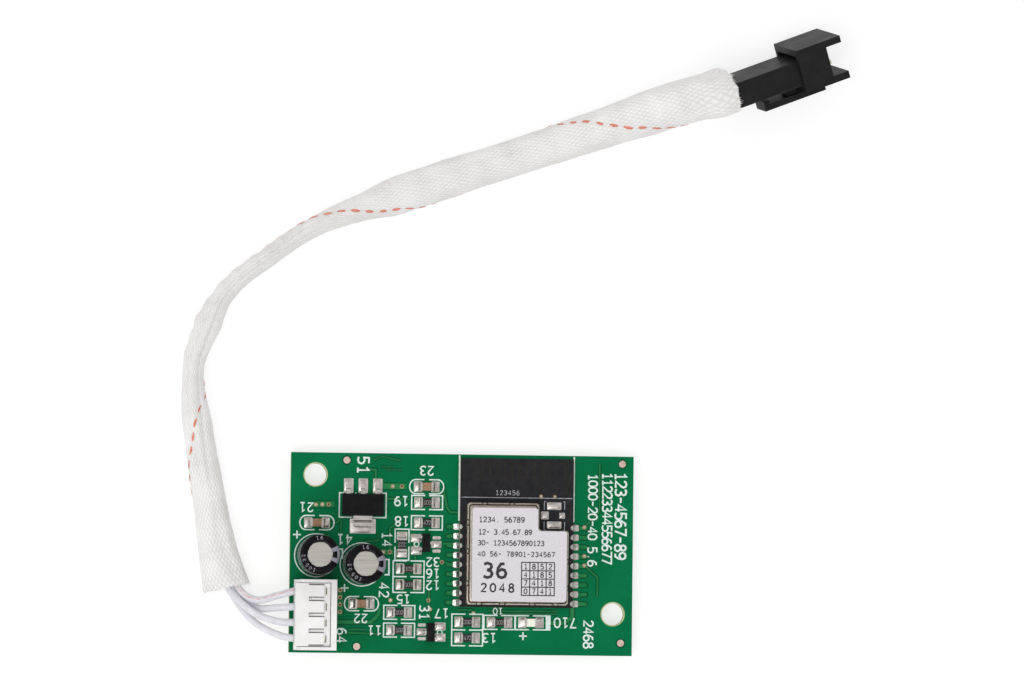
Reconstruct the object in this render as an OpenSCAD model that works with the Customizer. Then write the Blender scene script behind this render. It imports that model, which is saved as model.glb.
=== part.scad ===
// Wireless control board: a castellated radio module and its power parts on a
// small carrier board, with a four-way lead in a braided glass-fibre sleeve
// that ends in a black in-line connector.
// Origin: bottom centre of the board assembly, on the surface its lead tips
// stand on. +X runs along the board's long side, +Y towards the radio
// module's antenna edge, +Z up through the parts.

/* [Carrier board] */
// Length of the carrier board along X
board_l = 54.4; // [54:0.2:70]
// Width of the carrier board along Y
board_w = 31.6; // [31.4:0.2:44]
// Thickness of the carrier board
board_t = 1.6; // [1:0.1:2.4]
// Diameter of the two mounting holes
hole_d = 3.5; // [2.5:0.1:4]
// Distance of the upper left hole from the board's left edge
hole_in_left = 3.9; // [3:0.1:5]
// Distance of the lower right hole from the board's right edge
hole_in_right = 3.1; // [3:0.1:5]
// Distance of the left mounting hole from the top edge
hole_in_top = 3.5; // [3:0.1:5]
// Distance of the right mounting hole from the bottom edge
hole_in_bottom = 6.6; // [3:0.1:10]
// Length of lead left standing below the board
lead_stub = 1.4; // [1:0.1:2.5]
// Diameter of the plated holes for round leads
lead_hole_d = 0.9; // [0.8:0.05:1]
// Foot diameter of a solder joint on the underside
joint_d = 1.7; // [1.4:0.1:2]
// Height of a solder joint on the underside
joint_h = 0.9; // [0.5:0.1:1]

/* [Radio module] */
// Width of the radio module board
module_w = 18; // [17.5:0.1:19]
// Length of the radio module board
module_l = 23.5; // [22.5:0.1:24]
// Thickness of the radio module board
module_t = 0.8; // [0.6:0.1:1.2]
// Distance of the module's left side from the carrier's left edge
module_in_left = 26.8; // [26.4:0.1:27.6]
// Distance of the module's lower edge from the carrier's lower edge
module_in_bottom = 7.5; // [7.2:0.1:7.9]
// Castellated pads down each side
castellations = 9; // [7:1:9]
// Pitch of the castellated pads
castellation_pitch = 1.5; // [1.27:0.01:1.55]
// Diameter of the half holes of the castellated pads
castellation_d = 0.8; // [0.6:0.05:1]
// Distance of the last castellated pad from the module's lower edge
castellation_in = 0.65; // [0.6:0.05:1]
// Reach of the solder outside the module's side
solder_reach = 0.95; // [0.6:0.05:1.1]

/* [Shield can] */
// Side of the square shield can
shield_side = 16.1; // [15.5:0.1:16.5]
// Height of the shield can over the module board
shield_h = 2.7; // [2:0.1:3.5]
// Sheet thickness of the shield can
shield_t = 0.2; // [0.15:0.05:0.3]
// Gap from the shield can to the module's lower edge
shield_in = 0.35; // [0.2:0.05:0.6]
// Width of the corner notch for the aerial socket pads
notch_w = 4.7; // [4:0.1:5.5]
// Length of the corner notch for the aerial socket pads
notch_l = 4.6; // [4:0.1:5.5]
// Corner radius of the shield can in plan
shield_r = 0.5; // [0.3:0.1:0.8]
// Width and height of the bent top edge
shield_bend = 0.45; // [0.3:0.05:0.7]
// Width of the retaining slots in the can's wall
shield_slot_w = 1.1; // [0.6:0.1:1.6]
// Height of the retaining slots in the can's wall
shield_slot_h = 0.4; // [0.3:0.05:0.6]
// Height of the retaining slots above the module board
shield_slot_z = 0.7; // [0.4:0.1:1]
// Margin from the lid's edge to the label
label_margin = 0.35; // [0.2:0.05:1]
// Thickness of the label
label_t = 0.1; // [0.05:0.05:0.2]

/* [Electrolytic capacitors] */
// Diameter of the sleeved can
can_d = 6.3; // [5:0.1:6.6]
// Height of the capacitor above the board
can_h = 11; // [9:0.5:12.5]
// Thickness of the shrink sleeve
can_sleeve_t = 0.15; // [0.1:0.05:0.25]
// Radius of the drawn top edge
can_round = 0.6; // [0.4:0.1:0.8]
// Width of the sleeve lip rolled over the top edge
can_lip = 0.75; // [0.5:0.05:0.9]
// Height of the crimped bead above the base
can_bead_z = 1.7; // [1.5:0.1:2.2]
// Depth of the crimped bead
can_bead = 0.3; // [0.2:0.05:0.4]
// Thickness of the rubber bung
bung_t = 1; // [0.8:0.1:1.2]
// Pitch of the two leads
can_pitch = 2.5; // [2:0.1:3]
// Diameter of the leads
can_lead_d = 0.5; // [0.4:0.05:0.6]

/* [Regulator] */
// Length of the regulator's moulded body
reg_l = 6.5; // [6:0.1:7]
// Width of the regulator's moulded body
reg_w = 3.5; // [3.3:0.1:3.7]
// Height of the regulator's moulded body
reg_h = 1.6; // [1.4:0.1:1.8]
// Pitch of the three regulator leads
reg_pitch = 2.3; // [2.1:0.05:2.4]
// Width of a regulator lead
reg_lead_w = 0.75; // [0.6:0.05:0.9]
// Width of the regulator's heat tab
reg_tab_w = 3; // [2.8:0.1:3.3]
// Thickness of the regulator's lead frame
reg_lead_t = 0.25; // [0.2:0.05:0.3]
// Distance that leads and tab reach out of the body
reg_reach = 1.6; // [1.4:0.1:1.8]

/* [Chips and transistors] */
// Length of a chip resistor or capacitor
chip_l = 2; // [1.8:0.1:2.2]
// Width of a chip resistor or capacitor
chip_w = 1.25; // [1.1:0.05:1.4]
// Height of a chip resistor
res_h = 0.5; // [0.4:0.05:0.7]
// Height of a ceramic chip capacitor
cer_h = 0.85; // [0.7:0.05:1.1]
// Length of a chip's end terminal
term_l = 0.3; // [0.3:0.05:0.5]
// Plating thickness of a chip's end terminal
term_t = 0.05; // [0.04:0.01:0.08]
// Reach of a solder fillet beyond a chip's end
fillet_l = 0.7; // [0.4:0.05:0.9]
// Length of a transistor's moulded body
tr_l = 2.9; // [2.7:0.1:3.1]
// Width of a transistor's moulded body
tr_w = 1.3; // [1.2:0.05:1.4]
// Height of a transistor over the board
tr_h = 1.05; // [0.95:0.05:1.15]
// Pitch of a transistor's paired leads
tr_pitch = 1.9; // [1.8:0.05:2]
// Width of a transistor lead
tr_lead_w = 0.42; // [0.35:0.01:0.5]
// Reach of a transistor lead outside the body
tr_reach = 0.6; // [0.5:0.05:0.7]
// Thickness of a transistor lead
tr_lead_t = 0.13; // [0.1:0.01:0.16]
// Draft of the moulded packages at each side
mould_draft = 0.15; // [0.05:0.05:0.25]
// Height of the LED package
led_h = 0.8; // [0.6:0.05:1.1]

/* [Board connector] */
// Pitch of the four ways
way_pitch = 2.5; // [2.4:0.05:2.54]
// Width of the shroud along X
shroud_w = 6.5; // [6.2:0.1:7]
// Wall thickness of the shroud's end walls
shroud_end_t = 0.5; // [0.4:0.05:0.7]
// Wall thickness of the shroud's back wall
shroud_back_t = 0.9; // [0.7:0.05:1.2]
// Floor thickness of the shroud
shroud_floor = 1; // [0.8:0.1:1.4]
// Height of the shroud over the board
shroud_h = 5.8; // [5.4:0.1:7]
// Clearance between plug and shroud
plug_clear = 0.1; // [0.05:0.01:0.15]
// Height of the plug body over the shroud floor
plug_h = 4; // [3.6:0.1:4.4]
// Height of the raised bar and tongues over the plug body
tongue_h = 0.6; // [0.3:0.1:0.8]
// Width of a tongue
tongue_w = 1.8; // [1.4:0.1:2]
// Width of the plain bar at the wire side
bar_w = 2.1; // [1.8:0.1:2.4]
// Length of the tongues
tongue_l = 2.4; // [2:0.1:2.6]
// Side of the square contact posts
post_w = 0.64; // [0.5:0.02:0.7]
// Clearance round a post in the plug
post_clear = 0.1; // [0.05:0.01:0.2]
// Inset of the connector from the board's left edge
conn_in_left = 0.7; // [0.3:0.1:1.2]
// Inset of the connector from the board's bottom edge
conn_in_bottom = 0.4; // [0.2:0.1:1]

/* [In-line connector] */
// Length of the rear body up to its front face
rear_l = 14.5; // [13:0.5:16]
// Thickness of the rear body
rear_t = 4.1; // [3.8:0.1:4.6]
// Width of the rear body
rear_w = 7.6; // [7.4:0.1:8.4]
// Pitch of the four ways of the in-line connector
inline_pitch = 2; // [1.8:0.05:2.05]
// Distance of the collar behind the rear end
collar_at = 12.1; // [11.5:0.1:13]
// Length of the collar's two plates
collar_l = 7.8; // [6.5:0.1:8.5]
// Length of the collar's side walls
collar_side_l = 5.1; // [4:0.1:5.5]
// Side wall thickness of the collar
collar_side_t = 0.7; // [0.5:0.05:1]
// Thickness of the collar's arch plate
arch_t = 1.1; // [0.6:0.05:1.2]
// Open gap between the rear body and the arch plate
arch_gap = 0.75; // [0.6:0.05:1.5]
// Thickness of the collar's lower plate
keel_t = 1.15; // [0.8:0.05:1.4]
// Thickness of the latch lever
lever_t = 1; // [0.8:0.1:1.3]
// Length of the latch lever
lever_l = 10.8; // [9.5:0.1:12]
// Width of the latch lever
lever_w = 3.6; // [3:0.1:4.4]
// Distance of the lever's thumb end from the rear end
lever_at = 5.6; // [4:0.1:6.5]
// Gap between the latch lever and the collar
lever_gap = 0.25; // [0.2:0.05:0.5]
// Length of the post that carries the lever
lever_post = 1.8; // [1.2:0.1:2]
// Length of the pins outside the body
pin_out = 3.4; // [2.5:0.1:4]

/* [Lead] */
// Diameter over the insulation of one wire
wire_d = 1.15; // [1:0.05:1.2]
// Wall thickness of the braided sleeve
braid_t = 0.4; // [0.3:0.05:0.45]

/* [Hidden] */
eps = 0.01;

// Heights and edges that the pieces share
board_z = lead_stub;
top_z = board_z + board_t;
left_x = -board_l / 2;
right_x = board_l / 2;
low_y = -board_w / 2;
high_y = board_w / 2;
module_x = left_x + module_in_left + module_w / 2;
module_y0 = low_y + module_in_bottom;
module_z = top_z + module_t;
shield_x0 = module_x - shield_side / 2;
shield_y0 = module_y0 + shield_in;
shroud_l = 4 * way_pitch + 1.1;
conn_x = left_x + conn_in_left + shroud_w / 2;
conn_y = low_y + conn_in_bottom + shroud_l / 2;
plug_x0 = -shroud_w / 2;
plug_x1 = shroud_w / 2 - shroud_back_t - plug_clear;
plug_z = top_z + shroud_floor;
plug_half = shroud_l / 2 - shroud_end_t - plug_clear;
wire_exit_z = plug_z + plug_h / 2;
post_x = plug_x0 + bar_w + tongue_l / 2;

// Layout of the small parts, from the board's lower left corner: [x, y, turn]
resistor_at = [[17.4, 3.7, 0], [18.8, 10.9, 0], [28.2, 2.6, 0],
  [17.7, 17.2, 90], [17.4, 6.5, 0], [18.8, 13.4, 0], [28.2, 5.1, 0],
  [21.6, 20.7, 0], [21.6, 23.9, 0], [33.3, 5.1, 0]];
ceramic_at = [[4.2, 20.5, 0], [11.4, 7.8, 0], [21.5, 26.4, 0]];
transistor_at = [[22.4, 3.4, 0], [21.5, 17.5, 180]];
can_at = [[4.15, 15.35], [11.35, 14]];
led_at = [38.3, 5.1, 0];
reg_at = [11.4, 23.4];

module place(p, turn = 0) translate([left_x + p[0], low_y + p[1], top_z]) rotate(turn) children();

// Rounded outline: points of a polygon with each corner cut by an arc
function corner(a, b, c, r, n = 4) =
  let (u = (a - b) / norm(a - b), v = (c - b) / norm(c - b),
       q = b + r * (u + v), s = sign(cross(u, v)))
  [for (i = [0 : n]) let (t = 90 * i / n) q - r * v * cos(t) - r * u * sin(t)];
function rounded(p, r) = [for (i = [0 : len(p) - 1])
  each corner(p[(i + len(p) - 1) % len(p)], p[i], p[(i + 1) % len(p)], r)];

// Closed surface through equal rings, with a flat cap on the first and last
module loft(rings) {
  n = len(rings[0]);
  m = len(rings);
  polyhedron(points = [for (r = rings) each r],
    faces = concat([[for (i = [0 : n - 1]) i]],
      [for (k = [0 : m - 2], i = [0 : n - 1])
        each [[k * n + i, (k + 1) * n + i, (k + 1) * n + (i + 1) % n],
              [k * n + i, (k + 1) * n + (i + 1) % n, k * n + (i + 1) % n]]],
      [[for (i = [n - 1 : -1 : 0]) (m - 1) * n + i]]), convexity = 6);
}

// ---------------------------------------------------------------- carrier
function post_ys() = [for (k = [0 : 3]) (k - 1.5) * way_pitch];

module circuit_board() color("#0b5a35")
  translate([0, 0, board_z]) difference() {
    translate([left_x, low_y, 0]) cube([board_l, board_w, board_t]);
    translate([left_x + hole_in_left, high_y - hole_in_top, -1]) cylinder(d = hole_d, h = board_t + 2, $fn = 48);
    translate([right_x - hole_in_right, low_y + hole_in_bottom, -1]) cylinder(d = hole_d, h = board_t + 2, $fn = 48);
    for (p = can_at, s = [-1, 1])
      translate([left_x + p[0] + s * can_pitch / 2, low_y + p[1], -1]) cylinder(d = lead_hole_d, h = board_t + 2, $fn = 24);
    for (y = post_ys())
      translate([conn_x + post_x, conn_y + y, -1]) cylinder(d = lead_hole_d + 0.1, h = board_t + 2, $fn = 24);
  }

// Cone of solder round a round lead or a square post, below the board
module joint(foot, post) translate([0, 0, board_z - joint_h]) difference() {
  rotate_extrude($fn = 24) polygon([[0, 0], [foot / 4, 0], [foot / 3.2, joint_h * 0.45], [foot / 2, joint_h], [0, joint_h]]);
  translate([0, 0, -1]) if (post > 0) translate([-post / 2, -post / 2, 0]) cube([post, post, joint_h + 2]);
    else cylinder(d = can_lead_d, h = joint_h + 2, $fn = 24);
}

module capacitor_joints() color("#c9ccd0")
  for (p = can_at, s = [-1, 1]) translate([left_x + p[0] + s * can_pitch / 2, low_y + p[1], 0]) joint(joint_d, 0);

module header_joints() color("#c9ccd0")
  for (y = post_ys()) translate([conn_x + post_x, conn_y + y, 0]) joint(joint_d + 0.1, post_w);

// ---------------------------------------------------------------- radio module
function castellation_ys() = [for (i = [0 : castellations - 1]) module_y0 + castellation_in + i * castellation_pitch];

module module_board() color("#1b1d20")
  difference() {
    translate([module_x - module_w / 2, module_y0, top_z]) cube([module_w, module_l, module_t]);
    for (s = [-1, 1], y = castellation_ys())
      translate([module_x + s * module_w / 2, y, top_z - 1]) cylinder(d = castellation_d, h = module_t + 2, $fn = 24);
  }

// Solder of one castellation: the filled half hole and the concave fillet
module module_solder() color("#d6d3c4")
  for (s = [-1, 1], y = castellation_ys())
    translate([module_x + s * module_w / 2, y, top_z]) rotate(s > 0 ? 0 : 180) union() {
      intersection() {
        cylinder(d = castellation_d, h = module_t, $fn = 24);
        translate([-castellation_d, -castellation_d, 0]) cube([castellation_d, 2 * castellation_d, module_t]);
      }
      rotate([90, 0, 0]) translate([0, 0, -castellation_d / 2]) linear_extrude(castellation_d)
        polygon([[0, 0], [solder_reach, 0], [solder_reach, 0.06], [solder_reach * 0.5, 0.16],
                 [solder_reach * 0.22, module_t * 0.5], [0.03, module_t * 0.96], [0, module_t]]);
    }

// L outline of the shield can, drawn in by d on every side
function l_outline(d) = let (x0 = shield_x0 + d, x1 = shield_x0 + shield_side - d,
    y0 = shield_y0 + d, y1 = shield_y0 + shield_side - d,
    xn = shield_x0 + shield_side - notch_w - d, yn = shield_y0 + shield_side - notch_l - d)
  [[x0, y0], [x1, y0], [x1, yn], [xn, yn], [xn, y1], [x0, y1]];
function l_ring(d, z) = [for (p = rounded(l_outline(d), shield_r)) [p[0], p[1], z]];

module module_shield() color("#b3ab9b")
  difference() {
    loft([l_ring(shield_t + shield_bend, module_z + shield_h - shield_t),
          l_ring(shield_t, module_z + shield_h - shield_t - shield_bend),
          l_ring(shield_t, module_z),
          l_ring(0, module_z),
          l_ring(0, module_z + shield_h - shield_bend),
          l_ring(shield_bend * 0.3, module_z + shield_h - shield_bend * 0.3),
          l_ring(shield_bend, module_z + shield_h)]);
    translate([0, 0, module_z + shield_slot_z]) {
      for (f = [0.2, 0.5, 0.8]) translate([shield_x0 + shield_side * f - shield_slot_w / 2, shield_y0 - 1, 0])
        cube([shield_slot_w, 1 + 2 * shield_t, shield_slot_h]);
      for (f = [0.22, 0.5, 0.78]) translate([shield_x0 - 1, shield_y0 + shield_side * f - shield_slot_w / 2, 0])
        cube([1 + 2 * shield_t, shield_slot_w, shield_slot_h]);
      for (f = [0.22, 0.5]) translate([shield_x0 + shield_side - 2 * shield_t, shield_y0 + shield_side * f - shield_slot_w / 2, 0])
        cube([1 + 2 * shield_t, shield_slot_w, shield_slot_h]);
      for (f = [0.2, 0.5]) translate([shield_x0 + shield_side * f - shield_slot_w / 2, shield_y0 + shield_side - 2 * shield_t, 0])
        cube([shield_slot_w, 1 + 2 * shield_t, shield_slot_h]);
    }
  }

module module_label() color("#f4f4f2")
  translate([0, 0, module_z + shield_h]) linear_extrude(label_t) polygon(l_outline(shield_bend + label_margin));

// ---------------------------------------------------------------- capacitors
function can_r() = can_d / 2 - can_sleeve_t;
// Half profile of the drawn can, grown by g, from the base to the lid
function can_side(g) = let (r = can_r()) concat(
  [[r + g - 0.35, 0.1], [r + g, 0.45], [r + g, can_bead_z - 0.45]],
  [for (i = [0 : 6]) let (t = i * 30) [r + g - can_bead * (1 - cos(2 * t)) / 2, can_bead_z - 0.45 + 0.15 * i]],
  [[r + g, can_bead_z + 0.5]],
  [for (i = [0 : 5]) let (t = i * 18) [r - can_round + (can_round + g) * cos(t), can_h - can_sleeve_t - can_round + (can_round + g) * sin(t)]]);

module can(i) color("#cfd3d6") place(can_at[i]) rotate_extrude($fn = 48)
  polygon(concat([[0, 0.1 + bung_t], [can_r() - 0.5, 0.1 + bung_t], [can_r() - 0.5, 0.1]], can_side(0),
    [[can_r() - can_lip - 0.1, can_h - can_sleeve_t], [can_r() - can_lip - 0.25, can_h - can_sleeve_t - 0.12], [0, can_h - can_sleeve_t - 0.12]]));

module can_sleeve(i) color("#16161a") place(can_at[i]) rotate_extrude($fn = 48) {
  outer = can_side(can_sleeve_t);
  inner = can_side(0);
  polygon(concat([for (k = [1 : len(outer) - 1]) outer[k]], [[can_r() - can_lip, can_h], [can_r() - can_lip, can_h - can_sleeve_t]],
    [for (k = [len(inner) - 1 : -1 : 1]) inner[k]]));
}

module can_bung(i) color("#202022") place(can_at[i]) difference() {
  cylinder(r = can_r() - 0.5, h = 0.1 + bung_t, $fn = 48);
  for (s = [-1, 1]) translate([s * can_pitch / 2, 0, -1]) cylinder(d = can_lead_d, h = bung_t + 3, $fn = 24);
}

module can_leads(i) color("#c4c7ca") for (s = [-1, 1])
  translate([left_x + can_at[i][0] + s * can_pitch / 2, low_y + can_at[i][1], 0]) cylinder(d = can_lead_d, h = top_z + 0.1 + bung_t, $fn = 24);

// ---------------------------------------------------------------- moulded packages
// Body drafted from its parting line, length along X
module moulded(l, w, h) rotate([90, 0, 90]) translate([0, 0, -l / 2]) linear_extrude(l)
  polygon([[-w / 2 + mould_draft, 0], [w / 2 - mould_draft, 0], [w / 2, h * 0.45],
           [w / 2 - mould_draft, h], [-w / 2 + mould_draft, h], [-w / 2, h * 0.45]]);

// Gull-wing lead leaving the body at height z and landing on the board
module gull(w, z, reach, t) rotate([90, 0, 0]) translate([0, 0, -w / 2]) linear_extrude(w)
  polygon([[0, z], [reach * 0.3, z], [reach * 0.3 + t * 0.6, 0], [reach, 0], [reach, t],
           [reach * 0.3 + t * 1.4, t], [reach * 0.3 + t * 0.8, z + t], [0, z + t]]);

module regulator_body() color("#26282a") place(reg_at) translate([0, 0, 0.05]) difference() {
  moulded(reg_l, reg_w, reg_h);
  translate([-reg_l / 2 + 0.7, -reg_w / 2 + 0.8, reg_h - 0.08]) cylinder(d = 0.6, h = 1, $fn = 24);
}

module regulator_leads() color("#c8cbce") place(reg_at) {
  z = 0.05 + reg_h * 0.45 - reg_lead_t / 2;
  for (k = [-1 : 1]) translate([k * reg_pitch, reg_w / 2, 0]) rotate(90) gull(reg_lead_w, z, reg_reach, reg_lead_t);
  translate([0, -reg_w / 2, 0]) rotate(-90) gull(reg_tab_w, z, reg_reach, reg_lead_t);
}

module transistor_body(i) color("#232425") place(transistor_at[i], transistor_at[i][2] + 90) translate([0, 0, 0.05])
  moulded(tr_l, tr_w, tr_h - 0.05);

module transistor_leads(i) color("#c8cbce") place(transistor_at[i], transistor_at[i][2]) {
  z = 0.05 + (tr_h - 0.05) * 0.45 - tr_lead_t / 2;
  for (s = [-1, 1]) translate([tr_w / 2, s * tr_pitch / 2, 0]) gull(tr_lead_w, z, tr_reach, tr_lead_t);
  translate([-tr_w / 2, 0, 0]) rotate(180) gull(tr_lead_w, z, tr_reach, tr_lead_t);
}

// ---------------------------------------------------------------- chips
module chip_core(h) translate([-chip_l / 2 + term_t, -chip_w / 2, term_t]) cube([chip_l - 2 * term_t, chip_w, h - 2 * term_t]);

module resistor(i) color("#17181a") place(resistor_at[i], resistor_at[i][2]) union() {
  chip_core(res_h);
  translate([-chip_l / 2 + term_l, -chip_w / 2 + 0.04, res_h - term_t - eps]) cube([chip_l - 2 * term_l, chip_w - 0.08, term_t + eps]);
}

module ceramic(i) color("#a9784f") place(ceramic_at[i], ceramic_at[i][2]) chip_core(cer_h);

module status_led() color("#efe9c9") place(led_at, led_at[2]) union() {
  translate([-chip_l / 2 + term_t, -chip_w / 2, term_t]) cube([chip_l - 2 * term_t, chip_w, led_h * 0.4 - 2 * term_t]);
  translate([0, 0, led_h * 0.4]) rotate([90, 0, 0]) translate([0, 0, -chip_w / 2]) linear_extrude(chip_w)
    polygon([[-chip_l / 2 + term_l, -term_t - eps], [chip_l / 2 - term_l, -term_t - eps], [chip_l / 2 - term_l - 0.06, led_h * 0.6], [-chip_l / 2 + term_l + 0.06, led_h * 0.6]]);
}

// Plated end of a chip, wrapped over its top, end and underside
module terminal(h) translate([chip_l / 2 - term_l, 0, 0]) rotate([90, 0, 0]) translate([0, 0, -chip_w / 2]) linear_extrude(chip_w)
  polygon([[0, 0], [term_l, 0], [term_l, h], [0, h], [0, h - term_t], [term_l - term_t, h - term_t], [term_l - term_t, term_t], [0, term_t]]);

// Concave fillet of solder at a chip's end, over its pad
module fillet(h) translate([chip_l / 2, 0, 0]) rotate([90, 0, 0]) translate([0, 0, -chip_w / 2]) linear_extrude(chip_w)
  polygon([[0, 0], [fillet_l, 0], [fillet_l, 0.05], [fillet_l * 0.5, h * 0.2], [fillet_l * 0.2, h * 0.5], [0, h * 0.85]]);

module at_chips() {
  for (p = resistor_at, s = [0, 180]) place(p, p[2] + s) { $h = res_h; children(); }
  for (p = ceramic_at, s = [0, 180]) place(p, p[2] + s) { $h = cer_h; children(); }
  for (s = [0, 180]) place(led_at, led_at[2] + s) { $h = led_h * 0.4; children(); }
}
module chip_terminals() color("#d3d5d8") at_chips() terminal($h);
module chip_solder() color("#c2c5c9") at_chips() fillet($h);

// ---------------------------------------------------------------- board connector
module header_shell() color("#ece9e0") translate([conn_x, conn_y, top_z]) difference() {
  translate([plug_x0, -shroud_l / 2, 0]) cube([shroud_w, shroud_l, shroud_h]);
  translate([plug_x0 - 1, -shroud_l / 2 + shroud_end_t, shroud_floor]) cube([1 + shroud_w - shroud_back_t, shroud_l - 2 * shroud_end_t, shroud_h]);
  // lead-in cut back at the wire side of the end walls
  translate([plug_x0 - 1, -shroud_l, shroud_floor]) rotate([-90, 0, 0]) linear_extrude(2 * shroud_l)
    polygon([[0, -shroud_h], [1 + bar_w * 0.5, -shroud_h], [1 + bar_w * 0.2, 0], [0, 0]]);
  for (y = post_ys()) translate([post_x - post_w / 2, y - post_w / 2, -1]) cube([post_w, post_w, shroud_floor + 2]);
}

module header_pins() color("#c9b06a")
  for (y = post_ys()) translate([conn_x + post_x - post_w / 2, conn_y + y - post_w / 2, 0]) cube([post_w, post_w, plug_z + plug_h * 0.75]);

module plug_housing() color("#f1eee6") translate([conn_x, conn_y, plug_z]) difference() {
  union() {
    translate([plug_x0, -plug_half, 0]) cube([plug_x1 - plug_x0, 2 * plug_half, plug_h]);
    translate([plug_x0, -plug_half, plug_h - eps]) cube([bar_w, 2 * plug_half, tongue_h + eps]);
    for (y = post_ys()) translate([plug_x0 + bar_w - eps, y - tongue_w / 2, plug_h - eps]) cube([tongue_l + eps, tongue_w, tongue_h + eps]);
  }
  for (y = post_ys()) {
    translate([post_x - post_w / 2 - post_clear, y - post_w / 2 - post_clear, -1]) cube([post_w + 2 * post_clear, post_w + 2 * post_clear, 1 + plug_h * 0.75 + post_clear]);
    translate([plug_x0 + bar_w + tongue_l, y - tongue_w * 0.3, plug_h - 1.2]) cube([0.45, tongue_w * 0.6, 2]);
  }
}

module plug_contacts() color("#c9cccf")
  for (y = post_ys()) translate([conn_x + plug_x0 + bar_w + tongue_l, conn_y + y - tongue_w * 0.3, plug_z + plug_h - 1.2]) cube([0.3, tongue_w * 0.6, 0.9]);

// ---------------------------------------------------------------- in-line connector
// Pose of the in-line connector: its rear end, then its roll, pitch and turn
inline_at = [40.2, 73.1, 8.9];
inline_turn = [17.5, 10.5, 21.5];
module inline() translate(inline_at) rotate(inline_turn) children();

collar_w = rear_w + 2 * collar_side_t;
collar_top = rear_t / 2 + arch_gap + arch_t;
collar_low = -rear_t / 2 - keel_t;
lever_y = collar_low - lever_gap - lever_t;

module cable_connector_housing() color("#1d1d1f") inline() union() {
  // rear body with broken long edges
  difference() {
    rotate([90, 0, 90]) linear_extrude(rear_l)
      polygon([for (p = rounded([[-rear_t / 2, -rear_w / 2], [rear_t / 2, -rear_w / 2], [rear_t / 2, rear_w / 2], [-rear_t / 2, rear_w / 2]], 0.3)) p]);
    for (k = [0 : 3]) translate([rear_l * 0.6, -post_w / 2, (k - 1.5) * inline_pitch - post_w / 2]) cube([rear_l, post_w, post_w]);
  }
  // collar: a tube whose side walls are cut back between its two plates
  difference() {
    translate([collar_at, collar_low, -collar_w / 2]) cube([collar_l, collar_top - collar_low, collar_w]);
    translate([collar_at - 1, -rear_t / 2, -rear_w / 2]) cube([collar_l + 2, rear_t + arch_gap, rear_w]);
    translate([collar_at + collar_side_l, -rear_t / 2, -collar_w]) cube([collar_l, rear_t + arch_gap, 2 * collar_w]);
  }
  // latch lever, its thumb rib and the post that joins it to the body
  translate([lever_at, lever_y, -lever_w / 2]) cube([lever_l, lever_t, lever_w]);
  translate([lever_at, lever_y + lever_t - eps, -lever_w / 2]) cube([1, lever_gap + 0.3, lever_w]);
  translate([collar_at - lever_post - 0.3, lever_y + lever_t - eps, -lever_w / 3]) cube([lever_post, -rear_t / 2 - lever_y - lever_t + 2 * eps, lever_w * 2 / 3]);
}

module cable_connector_pins() color("#d0d2d4") inline()
  for (k = [0 : 3]) translate([rear_l * 0.6, -post_w / 2, (k - 1.5) * inline_pitch - post_w / 2]) cube([rear_l * 0.4 + pin_out, post_w, post_w]);

// ---------------------------------------------------------------- lead
// Stations of the braided sleeve: [x, y, z, width, height, roll]
route = [
  [-37.1, -5.6, 2, 7.4, 3.9, 0],
  [-38.7, 1.2, 2.3, 5.9, 4.4, 0],
  [-41.4, 16, 2.5, 4.8, 4.8, 0],
  [-42.9, 27.5, 2.6, 3.9, 5, 0],
  [-41.3, 34, 2.6, 4.3, 5, 0],
  [-37.7, 41.1, 2.5, 3.9, 4.8, 0],
  [-31, 46.8, 2.5, 3.8, 4.8, 0],
  [-23, 52, 2.4, 3.9, 4.6, 0],
  [-12, 56.4, 2.2, 5.8, 4.2, 0],
  [12, 64.6, 2.3, 6, 4.4, 0],
  [33, 71, 6.9, 6.4, 6, 7]
];
// Last stations of the sleeve, over the rear of the in-line connector
over_rear = 2;
mouth_w = 6.2;
mouth_h = 10.2;
// Side and height of each wire in the bundle, as multiples of its spacing
bundle = [[-1, 1], [-1, -1], [1, 1], [1, -1]];
bundle_gap = 0.62;
bundle_step = 0.31;
// Free run of each wire from the board connector to the sleeve's mouth
free_run = [
  [[-29.3, -6.9, 5.8], [-32.6, -7.6, 4.4]],
  [[-29.3, -8.8, 5.4], [-32.5, -8.7, 3.1]],
  [[-29.3, -10.9, 5.8], [-33, -9.5, 4.6]],
  [[-29.2, -13, 5.4], [-33.1, -10.7, 3.1]]
];
mouth_shift = -0.9;

function rot_x(p, a) = [p[0], p[1] * cos(a) - p[2] * sin(a), p[1] * sin(a) + p[2] * cos(a)];
function rot_y(p, a) = [p[0] * cos(a) + p[2] * sin(a), p[1], p[2] * cos(a) - p[0] * sin(a)];
function rot_z(p, a) = [p[0] * cos(a) - p[1] * sin(a), p[0] * sin(a) + p[1] * cos(a), p[2]];
function inline_point(p) = inline_at + rot_z(rot_y(rot_x(p, inline_turn[0]), inline_turn[1]), inline_turn[2]);
function unit(v) = v / norm(v);
function xyz(p) = [p[0], p[1], p[2]];

spine = concat([for (s = route) xyz(s)], [inline_at, inline_point([over_rear, 0, 0])]);
// Direction, side and upright of the section at each station
function tangent(p, i) = let (n = len(p) - 1) unit(i == 0 ? p[1] - p[0] : i == n ? p[n] - p[n - 1] : unit(p[i + 1] - p[i]) + unit(p[i] - p[i - 1]));
function side_of(t, roll) = let (s = unit(cross([0, 0, 1], t)), u = cross(t, s)) s * cos(roll) + u * sin(roll);
last_route = len(route) - 1;
function station_t(i) = i > last_route ? inline_point([1, 0, 0]) - inline_at : tangent(spine, i);
function station_s(i) = i > last_route ? inline_point([0, 1, 0]) - inline_at : side_of(station_t(i), route[i][5]);
function station_u(i) = cross(station_t(i), station_s(i));
function station_w(i) = i > last_route ? mouth_w : route[i][3];
function station_h(i) = i > last_route ? mouth_h : route[i][4];
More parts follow.
